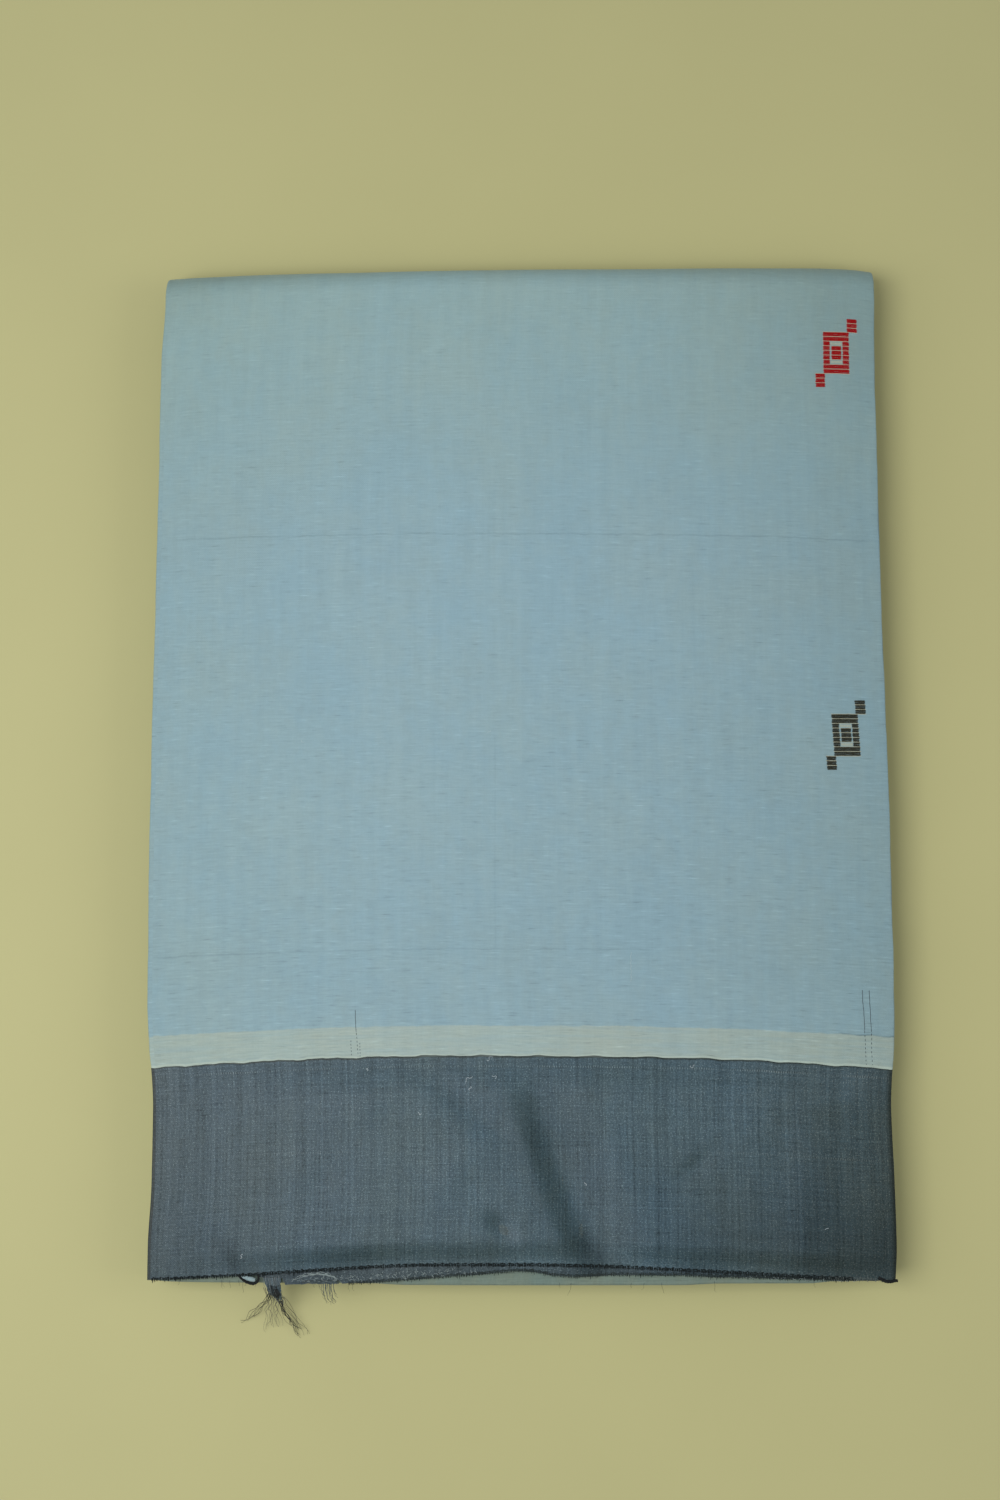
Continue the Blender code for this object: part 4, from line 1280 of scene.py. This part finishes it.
def bar_threads(left, width, top, pitch, slant, seed):
    """Tubes for all bars, which slide sideways by the slant, row by row.

    Each thread's height is a sine that dips where a warp thread crosses it.
    """
    rng = np.random.default_rng(seed)
    bars = [(row, *bar) for row, spans in enumerate(CHART) for bar in spans]
    for (row, start, end), thread in itertools.product(bars, range(THREADS_IN_BAR)):
        y = top - (row + 0.5) * pitch
        slide = slant * (top - y)
        first = left + start * width + slide + rng.uniform(-0.12, 0.12) * MM
        last = left + end * width + slide + rng.uniform(-0.12, 0.12) * MM
        x = np.linspace(first, last, max(4, int((last - first) / TUBE_STEP)))
        beside = (thread - (THREADS_IN_BAR - 1) / 2) * THREAD_SPACING * pitch
        dip = np.cos(TURN * x / BIND_STEP + math.pi * thread)
        ends = smooth_step(np.minimum(x - first, last - x) / (0.35 * MM))
        above = (BAR_HEIGHT + BAR_DIP * dip) * ends - BAR_END_DEPTH * (1 - ends)
        path = on_blue(x, y + beside + wander(x, seed + thread, 9 * MM, 0.05 * MM), above)
        yield laid_thread(path, BAR_THREAD * rng.uniform(0.92, 1.08), 6)


def dyed_thread(name, color, uneven=0.35, roughness=0.7):
    """A thread material: its colour, mottled at the size of the fibres."""
    material, tree, shader = start_material(name, roughness, 0.0, 0.14)
    here = term(tree, "ShaderNodeTexCoord", output="Object")
    share = term(tree, "ShaderNodeTexNoise", {"Vector": here, "Scale": 1400.0, "Detail": 3.0})
    share = share.times_plus(2 * uneven, 1 - uneven)
    tree.links.new(blend_colors(tree, 1.0, color, share, "MULTIPLY").socket, shader.inputs["Base Color"])
    return material


red_weft = dyed_thread("red weft", (0.310, 0.005, 0.006))
grey_weft = dyed_thread("grey-brown weft", (0.034, 0.036, 0.027))
add_piece("red_motif", joined(*bar_threads(*RED_PLACE, 120)), red_weft)
add_piece("grey_motif", joined(*bar_threads(*GREY_PLACE, 130)), grey_weft)

# %% [markdown]
# ## Ground wefts in the motifs
# Between two bars runs the cloth's own weft, which looks pale and straw-coloured beside the dark bars.

# %% Pale wefts between the bars


def ground_wefts(left, width, top, pitch, slant, seed):
    """One pale thread below each row of bars, as wide as the box or the short bars beside it."""
    for row in range(1, len(CHART)):
        spans = np.array(CHART[row - 1] + CHART[row])
        windows = [(spans.min() - 0.02, spans.max() + 0.02, 0.0)]
        if CHART[row] == SIDES:
            windows += [(0.28, 0.73, offset) for offset in (-0.68, -0.5, -0.32)]
        for start, end, offset in windows:
            y = top - (row - offset) * pitch
            first = left + slant * (top - y)
            x = np.linspace(first + start * width, first + end * width, 30)
            path = on_blue(x, y + wander(x, seed + row, 8 * MM, 0.06 * MM), -0.03 * MM)
            yield laid_thread(path, 0.13 * MM)


pale_wefts = joined(*ground_wefts(*RED_PLACE, 140), *ground_wefts(*GREY_PLACE, 160))
ground_weft = dyed_thread("pale ground weft", (0.42, 0.43, 0.33), 0.2, 0.85)
add_piece("motif_ground", pale_wefts, ground_weft)

# %% [markdown]
# ## Loose yarns on the blue
# Near the pale band the ends of some dark yarns were left in the cloth. They run along the warp and lie
# in it like a fine dark line, which breaks into dots towards the join.

# %% Dark yarn tails
# across at the top, along at the top, across at the foot, along at the foot, length of one dip
TAILS = np.array([
    (-65.9, -97.7, -64.6, -115.9, 1.5),
    (-67.4, -109.6, -67.1, -115.6, 1.3),
    (-63.9, -110.6, -63.8, -115.9, 1.2),
    (134.9, -90.3, 136.0, -119.6, 1.6),
    (137.7, -90.4, 138.4, -119.6, 1.7),
]) * MM


def tail_threads():
    """A thread along each row's line, whose height is a sine: it dips deeper past the band's start."""
    for number, (x0, y0, x1, y1, dip) in enumerate(TAILS):
        t = np.linspace(0, 1, 160)
        y = y0 + (y1 - y0) * t
        x = x0 + (x1 - x0) * t + wander(y, 180 + number, 22 * MM, 0.18 * MM)
        dotted = smooth_step((BAND_FROM - y) / (6 * MM))
        above = (-0.035 - 0.06 * dotted + (0.02 + 0.08 * dotted) * np.sin(TURN * (y0 - y) / dip)) * MM
        yield laid_thread(on_blue(x, y, above), 0.12 * MM, 6, (1.0, 0.0, 0.0))


add_piece("yarn_tails", joined(*tail_threads()), dyed_thread("dark yarn", (0.055, 0.075, 0.085), 0.3))

# %% [markdown]
# ## The raw edges
# A cut across the warp leaves its ends free. They stand out of the edge by less than a millimetre, a few
# of them longer, at the pitch of the warp, and make the fine dark teeth of the cut. The upper ends are
# near black: dark thread, with the shadow line under the upper cut painted into them.

# %% Warp ends along the cuts
# piece, slot, from, to, seed, longest, thickness, and its material's name, colour and unevenness
CUT_ENDS = [
    # the upper ends: dark thread, made near black to paint the shadow under the cut as well
    ("upper_fray", 1, -145.2, 129.0, 200, 0.9, 0.25, "slate warp ends", (0.012, 0.017, 0.018), 0.5),
    ("lower_fray", 2, -68.0, 128.0, 210, 0.8, 0.20, "slate warp ends, lower", (0.028, 0.038, 0.036), 0.5),
    ("corner_fray", 1, 116.0, 143.0, 205, 0.6, 0.13, "slate warp ends, worn pale", (0.11, 0.13, 0.125), 0.8),
]
END_PITCH = 0.34 * MM


def cut_ends(slot, first, last, seed, longest, thickness):
    """Short tapering threads across a cut edge: each leaves the edge along the warp and droops.

    The dark teeth are uneven: their length follows a quick scallop and a slow wander, and a few ends are
    much longer.
    """
    rng = np.random.default_rng(seed)
    x = np.arange(first, last, END_PITCH)
    x = x + rng.uniform(-0.12, 0.12, len(x)) * MM
    edge = (curve_through(UPPER_CUT, x) if slot == 1 else straight_through(LOWER_CUT, x))[:, None]
    slow = 0.5 + wander(x, seed + 7, 9 * MM, 0.5)
    quick = 0.5 + wander(x, seed + 8, 2.9 * MM, 0.5)
    length = (0.10 + 0.38 * slow + 0.70 * quick + longest * rng.power(0.5, len(x)) ** 6)[:, None] * MM
    root = (0.2 + 0.8 * quick)[:, None] * MM
    t = np.linspace(0, 1, 5)
    lean = rng.uniform(-0.5, 0.5, len(x))[:, None] * length * t
    drop = (0.02 + rng.uniform(-0.2, 0.10, len(x))[:, None] * t) * MM - 0.40 * length * t**2
    radii = (1 - 0.6 * t) * thickness * rng.uniform(0.8, 1.15, len(x))[:, None]
    offsets = places(lean, root - (length + root) * t, drop)
    return tubes(on_slate(x[:, None], edge, 0.0, slot) + offsets, radii, 4)


for name, slot, first, last, seed, longest, thickness, finish, color, uneven in CUT_ENDS:
    ends = cut_ends(slot, first * MM, last * MM, seed, longest, thickness * MM)
    add_piece(name, ends, dyed_thread(finish, color, uneven, 0.85))

# %% [markdown]
# ## The tuft
# A strip of the lower ply was torn, twisted and left hanging over the foot, and its warp has sprayed out
# into loose threads that come to rest just above the table. The tab is a thin sheet that turns as it
# drops. Its threads are the same curves as the solid's, with finer fibres that part from them.

# %% The torn tab
TAB_CENTRE = -97.9 * MM
TAB_WIDTH = 6.8 * MM
TAB_END_WIDTH = 3.3 * MM
TAB_TWIST = math.radians(24)
# along, height, drift to the right
TAB_LINE = np.array([
    (-201.6, 19.42, 0.0), (-203.4, 19.42, 0.2), (-205.2, 19.30, 0.5), (-206.9, 18.55, 0.9),
    (-208.4, 17.10, 1.2), (-209.5, 15.20, 1.4), (-210.2, 13.00, 1.6),
]) * MM
TAB_ROWS = 30
TAB_COLUMNS = 15


def torn_tab():
    """The tab's middle line, with columns across it that turn, hollow and draw in towards its end."""
    at = np.linspace(0, len(TAB_LINE) - 1.0, TAB_ROWS)[:, None]
    along, height, drift = curves_along(TAB_LINE, at)
    share = at / at[-1]
    turn = TAB_TWIST * smooth_step(share)
    side = np.linspace(-0.5, 0.5, TAB_COLUMNS)
    across = side * (TAB_WIDTH + (TAB_END_WIDTH - TAB_WIDTH) * share)
    hollow = 0.35 * MM * share * np.cos(side * math.pi)
    folds = 0.22 * MM * share * np.cos(side * 5 * math.pi + 0.6)
    ragged = wander(share * 30 * MM, 220, 8 * MM, 0.25 * MM) * np.abs(side) * 2
    x = TAB_CENTRE + drift + (across + ragged) * np.cos(turn)
    y = along - across * np.sin(turn) - hollow - folds * share
    return sheet(places(x, y, height + folds), places(across, at * 2 * MM), 0.62 * MM)


tab_built = torn_tab()
even_tone = np.ones(len(tab_built[0]))
tab_cotton = slate_cotton("slate cotton, torn", 0.95)
torn_tab_piece = add_piece("torn_tab", tab_built, tab_cotton, tone=even_tone, crease=0 * even_tone)
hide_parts("thread_tuft")

# %% The tuft's strands
# each spray: how many threads, thickness, and the middle line from the tab on: across, along, height, width
SPRAYS = {
    "core": (6, 0.19, [
        (-96.4, -206.2, 19.9, 1.2), (-95.9, -208.9, 18.2, 2.4), (-95.6, -212.2, 11.4, 1.9),
        (-94.4, -217.2, 5.0, 1.0), (-91.4, -222.4, 2.5, 0.9), (-88.2, -227.0, 0.9, 2.0),
    ]),
    "dark": (8, 0.12, [
        (-97.0, -205.0, 20.3, 4.6), (-96.4, -208.9, 18.0, 4.0), (-95.4, -212.2, 11.2, 3.8),
        (-93.4, -217.2, 5.0, 4.4), (-90.4, -222.6, 2.5, 5.2), (-88.0, -228.0, 0.9, 5.8),
    ]),
    "left": (6, 0.12, [
        (-98.9, -208.0, 17.9, 1.2), (-100.1, -210.9, 12.4, 2.0), (-103.1, -214.6, 6.0, 2.6),
        (-107.2, -218.8, 2.6, 2.8), (-110.6, -222.5, 0.8, 4.6),
    ]),
    "over": (16, 0.075, [
        (-98.2, -201.8, 20.1, 6.2), (-97.8, -205.0, 20.05, 5.8), (-96.9, -208.4, 18.2, 5.0),
        (-96.0, -210.8, 14.0, 4.4), (-95.0, -213.6, 9.0, 4.6),
    ]),
    "pale": (9, 0.12, [
        (-98.8, -206.2, 19.9, 4.6), (-98.4, -212.6, 10.2, 4.0), (-99.4, -218.0, 4.0, 5.2),
        (-99.0, -227.0, 0.9, 6.8),
    ]),
}
CURL = 0.8 * MM


def spray_threads(name, seed):
    """Threads side by side along a spray's middle line: place = middle + share of the width + small curls.

    The curls are two sine waves of each thread's own length and phase, growing from the root to the tip.
    """
    rng = np.random.default_rng(seed)
    count, thickness, line = SPRAYS[name]
    ends = (len(line) - 1) * rng.uniform(0.82, 1.0, (count, 1))
    ends[0] = len(line) - 1
    t = np.linspace(0, 1, 34)
    x, y, z, width = curves_along(np.array(line) * MM, t * ends)
    side = np.linspace(-0.5, 0.5, count)[:, None] + rng.uniform(-0.06, 0.06, (count, 1))
    waves = rng.uniform(1.5, 4.0, (2, count, 1))
    phases = rng.uniform(0, 1, (3, count, 1))
    curl = CURL * t * rng.uniform(0.4, 1.3, (count, 1))
    x = x + side * width + curl * np.sin(TURN * (waves[0] * t + phases[0]))
    y = y + 0.35 * np.abs(side) * width + 0.8 * curl * np.sin(TURN * (waves[1] * t + phases[1]))
    z = z + 0.5 * MM * np.sin(TURN * phases[2]) * t * (1 - t) * 3
    radii = (1 - 0.6 * t) * thickness * MM * rng.uniform(0.75, 1.15, (count, 1))
    return tubes(places(x, y, np.maximum(z, 0.25 * MM)), radii)


tuft_fibre = dyed_thread("tuft thread", (0.026, 0.029, 0.030), 0.7, 0.7)
pale_fibre = dyed_thread("tuft thread, pale", (0.060, 0.065, 0.066), 0.6, 0.8)
grey_fibre = dyed_thread("fibres on the tab", (0.17, 0.20, 0.21), 0.6, 0.85)
dark_sprays = joined(spray_threads("core", 229), spray_threads("dark", 230), spray_threads("left", 231))
tuft = add_piece("tuft_threads", dark_sprays, tuft_fibre)
pale_tuft = add_piece("tuft_fibres", spray_threads("pale", 232), pale_fibre)
tab_fibres = add_piece("tab_fibres", spray_threads("over", 234), grey_fibre)

# %% [markdown]
# ## Short threads
# Beside the tuft the lower ply has lost some of its wefts. A narrow frayed strip stays, with a few warp
# ends that droop below the pile.

# %% Frayed strip and its threads
STRIP_LEFT = -84.7 * MM
STRIP_RIGHT = -71.5 * MM
STRIP_BACK = -202.85 * MM
STRIP_FRONT = -204.5 * MM
SHORT_REACH = np.array([6.4, 8.8, 7.6, 9.6, 8.2, 9.2, 6.4]) * MM
SHORT_DROP = 8.5 * MM


def bows(start, control, end, steps):
    """Quadratic curves from start to end, drawn towards their control points, with the share of each step."""
    share = np.linspace(0, 1, steps)
    t = share[:, None]
    start, control, end = start[:, None], control[:, None], end[:, None]
    return (1 - t) ** 2 * start + 2 * t * (1 - t) * control + t**2 * end, share


def frayed_strip():
    """Uneven wefts that lie side by side in the place of the strip, crossed by short warp stubs."""
    rng = np.random.default_rng(240)
    for row, tier in np.ndindex(4, 3):
        weft = row * 3 + tier
        x = np.linspace(STRIP_LEFT + rng.uniform(0.1, 2.2) * MM, STRIP_RIGHT - rng.uniform(0.1, 2.2) * MM, 40)
        y = STRIP_BACK - 0.2 * MM - row * 0.27 * MM + wander(x, 241 + weft, 4 * MM, 0.18 * MM)
        z = level(2) + (tier - 1) * 0.33 * MM + wander(x, 260 + weft, 3 * MM, 0.12 * MM)
        yield laid_thread(places(x, y, z), rng.uniform(0.10, 0.16) * MM)
    x = np.arange(STRIP_LEFT + 1 * MM, STRIP_RIGHT - 1 * MM, 0.42 * MM)
    x = (x + rng.uniform(-0.15, 0.15, len(x)) * MM)[:, None]
    t = np.linspace(0, 1, 6)
    y = STRIP_BACK + 0.2 * MM - t * (1.1 + rng.uniform(0, 0.7, x.shape)) * MM
    z = level(2) + 0.36 * MM + rng.uniform(-0.1, 0.16, x.shape) * MM - 0.25 * MM * t**2
    stubs = places(x + rng.uniform(-0.3, 0.3, x.shape) * MM * t, y, z)
    yield tubes(stubs, np.tile((0.11 - 0.05 * t) * MM, (len(x), 1)), 4)


def short_threads():
    """Pairs of bows from the strip's front, shaken apart, that wave more towards their tips."""
    rng = np.random.default_rng(250)
    root = places(np.linspace(-78.4, -74.0, len(SHORT_REACH)) * MM, STRIP_FRONT + 0.7 * MM, level(2))
    tip = root + places(0.16 * SHORT_REACH, -SHORT_REACH, -SHORT_DROP * SHORT_REACH / SHORT_REACH.max())
    control = root + places(0.0, -0.62 * SHORT_REACH, 0.4 * MM)
    root, control, tip = (np.repeat(points, 2, axis=0) for points in (root, control, tip))
    shake = rng.uniform(-1, 1, root.shape) * (0.5, 0.9, 0.6) * MM
    paths, t = bows(root + shake * 0.3, control + shake, tip + shake, 20)
    phase = rng.uniform(0, 1, (len(root), 1))
    paths[..., 0] += 0.34 * MM * np.sin(TURN * (rng.uniform(1.4, 2.6, (len(root), 1)) * t + phase)) * t
    return tubes(paths, (0.11 - 0.06 * t) * MM * rng.uniform(0.6, 1.1, (len(root), 1)))


weft_fibre = dyed_thread("frayed weft", (0.070, 0.092, 0.100), 0.8, 0.8)
strip_piece = add_piece("frayed_strip", joined(*frayed_strip()), weft_fibre)
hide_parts("short_threads")
short_piece = add_piece("short_fringe", short_threads(), weft_fibre)

# %% [markdown]
# ## The rolled end
# A small corner of blue cloth has curled up beside the tuft. Its section is a spiral, carried along a
# short axis, so that the roll shows its turns at the ends.

# %% Rolled end
ROLL_FROM = np.array([-109.5, -201.15, 20.15]) * MM
ROLL_TO = np.array([-104.9, -202.4, 20.1]) * MM
ROLLED_BLUE = (0.25, 0.335, 0.35)


def rolled_end():
    """A spiral whose radius grows from 0.4 to 1.0 mm over one and two thirds turns."""
    axis = ROLL_TO - ROLL_FROM
    side = unit(np.cross(unit(axis), UPWARDS))
    up = np.cross(side, unit(axis))
    share = np.linspace(-0.08, 1.08, 22)[:, None]
    angle = np.linspace(math.radians(-60), math.radians(540), 44)
    grow = (angle - angle[0]) / (angle[-1] - angle[0])
    fullness = 0.78 + 0.22 * np.sin(math.pi * np.clip(share, 0, 1)) + 0.03 * np.sin(share * 17)
    radius = (0.40 + 0.60 * grow) * MM * fullness
    ring = np.cos(angle)[:, None] * side + np.sin(angle)[:, None] * up
    grid = (ROLL_FROM + axis * share)[:, None] + radius[..., None] * ring
    return sheet(grid, places(radius * angle, share * 6.2 * MM), 0.24 * MM)


roll_weave = {"slubs": 0.2, "streaks": 0.1, "bands": 0.0, "grain": 0.3}
roll_cotton = plain_cotton("pale blue cotton, rolled", ROLLED_BLUE, **roll_weave)
rolled = add_piece("rolled_end", rolled_end(), roll_cotton)
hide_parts("curled_end")

# %% [markdown]
# ## Lint and stray fibres
# A few bits of fluff lie on the slate, whitish wefts have worked loose beside the tuft, one dark thread
# end curls at the right corner, and single fibres hang below the edge. They are small, yet without them
# the cloth looks like a model of cloth.

# %% Lint
# across, along, length, turn in degrees, how much it curls
LINT = [
    (-13.8, -117.0, 4.0, 20, 1.2),
    (-11.8, -123.2, 3.2, -50, 1.6),
    (-22.4, -125.9, 4.4, 35, 0.7),
    (-20.5, -129.0, 2.4, 80, 1.0),
    (-40.9, -137.5, 2.2, -20, 0.8),
    (66.2, -119.6, 3.0, 10, 1.3),
    (-110.3, -193.8, 2.6, 60, 1.4),
    (24.6, -164.8, 1.8, -70, 0.9),
    (118.0, -183.0, 1.6, 15, 0.8),
    (-61.0, -121.0, 2.0, 0, 1.5),
]
# knots and a pale end in the blue, in the same columns
BLUE_BITS = [
    (-13.4, 12.2, 1.9, 30, 0.9),
    (-88.0, 9.2, 1.7, -10, 0.8),
    (43.2, -74.6, 12.4, -90, 0.04),
]
BIT_STEPS = 26


def curly(x, y, length, turn, curl, steps, seed):
    """A path from above that turns as it goes: its heading is a turn plus a curl and a seeded wander."""
    s = np.linspace(0, length, steps) * MM
    heading = math.radians(turn) + curl * np.sin(TURN * s / (length * MM) + seed)
    heading = heading + wander(s, seed, 2.5 * MM, 0.8)
    step = length * MM / (steps - 1)
    return x * MM + np.cumsum(np.cos(heading)) * step, y * MM + np.cumsum(np.sin(heading)) * step


def lint_threads():
    """A curl of fluff for each row, kept off the join, which rises and falls a little on the slate."""
    for number, row in enumerate(LINT):
        across, along = curly(*row, BIT_STEPS, 300 + number)
        along = np.minimum(along, curve_through(JOIN_LINE, across) - 0.2 * MM)
        above = 0.16 * MM + 0.12 * MM * np.sin(np.linspace(0, 5, BIT_STEPS) + number)
        yield laid_thread(on_slate(across, along, above), 0.095 * MM)


def blue_bits():
    """Knots and the pale end, each along its own curl on the blue face."""
    for number, row in enumerate(BLUE_BITS):
        yield laid_thread(on_blue(*curly(*row, BIT_STEPS, 360 + number), 0.02 * MM), 0.09 * MM)


add_piece("lint", joined(*lint_threads()), dyed_thread("pale fluff", (0.36, 0.42, 0.45), 0.2, 0.9))
blue_fluff = dyed_thread("pale blue yarn", (0.36, 0.47, 0.50), 0.2, 0.9)
add_piece("blue_bits", joined(*blue_bits()), blue_fluff)

# %% Whitish loose wefts
# the middle line of the arch of loose wefts, across and along
ARCH = np.array([
    (-91.0, -203.4), (-88.5, -202.0), (-85.5, -200.8), (-80.0, -199.9), (-75.5, -200.5), (-71.5, -202.2),
])
# each run of short fluff: how many, how far they stray, and their middle line across and along
FLUFF_RUNS = [
    (90, 1.0, [(-90.0, -202.6), (-71.5, -201.8), (-55.0, -201.0), (-36.0, -199.9), (-18.0, -199.3)]),
    (34, 0.5, [(84.0, -201.7), (112.0, -202.7), (138.0, -203.4)]),
]


def loose_wefts():
    """Fine wefts that have worked out of the lower ply: a shallow arch beside the tuft, and short fluff."""
    rng = np.random.default_rng(320)
    line = ARCH * MM
    reach = line[-1, 0] - line[0, 0]
    t = np.linspace(0, 1, 40)
    for _ in range(8):
        length = rng.uniform(0.45, 0.8)
        x = line[0, 0] + reach * (rng.uniform(0.0, 1.0 - length) + t * length)
        y = curve_through(line, x) + rng.uniform(-0.55, 0.55) * MM
        y = y + wander(x, int(rng.integers(1000)), 3 * MM, 0.35 * MM)
        above = (0.14 + rng.uniform(0.0, 0.35)) * MM + wander(x, int(rng.integers(1000)), 3 * MM, 0.14 * MM)
        yield laid_thread(on_slate(x, y, above, 2), rng.uniform(0.05, 0.09) * MM)
    for stray, line in [(stray, np.array(line)) for count, stray, line in FLUFF_RUNS for _ in range(count)]:
        x = rng.uniform(line[0, 0], line[-1, 0])
        y = curve_through(line, x) + rng.uniform(-stray, stray)
        turn, length = rng.uniform(-80, 80), rng.uniform(0.7, 2.0)
        across, along = curly(x, y, length, turn, 0.8, 9, int(rng.integers(1000)))
        along = np.maximum(along, straight_through(LOWER_CUT, across) - 0.5 * MM)
        path = on_slate(across, along, rng.uniform(0.08, 0.3) * MM, 2)
        yield laid_thread(path, rng.uniform(0.05, 0.08) * MM, 4)


white_weft = dyed_thread("greyish weft", (0.27, 0.33, 0.335), 0.6, 0.85)
loose_weft_piece = add_piece("loose_wefts", joined(*loose_wefts()), white_weft)

# %% The dark yarns, and stray fibres
# across, along, height of the dark yarn round the roll
ROLL_YARN = np.array([
    (-110.9, -200.6, 20.9), (-109.4, -202.0, 21.0), (-107.4, -203.2, 20.9), (-105.4, -203.7, 20.8),
    (-103.9, -203.2, 20.8), (-103.1, -201.9, 20.7), (-103.3, -200.4, 20.6),
]) * MM
# across, along, height of the corner thread
CORNER_THREAD = np.array([
    (139.4, -202.2, 19.5), (141.0, -203.0, 19.3), (142.6, -203.6, 19.1),
    (144.2, -203.7, 19.0), (145.6, -203.4, 18.9), (146.9, -203.3, 18.7),
]) * MM


def twisted_yarn(line, radius):
    """Three strands wound round a curve through a table of places."""
    at = np.linspace(0, len(line) - 1.0, 44)
    twist = np.arange(3)[:, None] * TURN / 3 + at * 3.2
    strands = places(*curves_along(line, at)) + 0.8 * radius * places(0.0, np.cos(twist), np.sin(twist))
    return tubes(strands, np.tile(radius * (1 - 0.35 * at / at[-1]), (3, 1)), 6, UPWARDS)


def stray_fibres():
    """Single fibres that leave the foot and hang a few millimetres, more of them near the tuft."""
    rng = np.random.default_rng(340)
    x = np.concatenate([rng.uniform(-136, -104, 8), rng.uniform(-92, -66, 7), rng.uniform(-60, 130, 7)]) * MM
    length = rng.uniform(1.0, 4.5, len(x)) * MM
    root = places(x, curve_through(UNDER_LINE, x) + 1.2 * MM, level(3))
    lean = rng.uniform(-0.5, 0.5, len(x))
    tip = root + places(lean * length, -length - 1.2 * MM, -length * rng.uniform(0.4, 1.6, len(x)))
    control = root + places(0.2 * lean * length, -0.8 * length - 1 * MM, 0.1 * length)
    paths, t = bows(root, control, tip, 12)
    paths[..., 0] += 0.3 * MM * np.sin(TURN * (1.4 * t + rng.uniform(0, 1, (len(x), 1)))) * t
    return tubes(paths, np.tile((0.05 - 0.02 * t) * MM, (len(x), 1)), 4)


black_thread = dyed_thread("dark loose yarn", (0.012, 0.014, 0.015), 0.3)
yarns = joined(twisted_yarn(CORNER_THREAD, 0.42 * MM), twisted_yarn(ROLL_YARN[::-1], 0.40 * MM))
corner = add_piece("dark_yarns", yarns, black_thread)
stray = add_piece("stray_fibres", stray_fibres(), tuft_fibre)

# %% [markdown]
# ## The cut of the cloth
# The whole sari is one cloth. The lengths of the two inner runs are added up, and its width is printed.

# %% Cut sizes
first_length + second_length
print("cut of the whole sari:", CLOTH_WIDTH, "m wide")

# %% [markdown]
# ## The floor
# A plain surface in a pale yellowish green takes the soft shadow.

# %% Floor
FLOOR_REACH = 2.5
FLOOR_COLOR = (0.448, 0.431, 0.208)

floor_paint, tree, shader = start_material("pale floor", 0.7)
here = term(tree, "ShaderNodeTexCoord", output="Object")
cloud = term(tree, "ShaderNodeTexNoise", {"Vector": here, "Scale": 9.0, "Detail": 4.0}).times_plus(0.08, 0.96)
tree.links.new(blend_colors(tree, 1.0, FLOOR_COLOR, cloud, "MULTIPLY").socket, shader.inputs["Base Color"])
corners = [(x * FLOOR_REACH, y * FLOOR_REACH, -0.05 * MM) for x, y in ((-1, -1), (1, -1), (1, 1), (-1, 1))]
floor_mesh = bpy.data.meshes.new("floor")
floor_mesh.from_pydata(corners, [], [(0, 1, 2, 3)])
floor_mesh.materials.append(floor_paint)
floor = add_object("floor", floor_mesh)
print("floor laid")
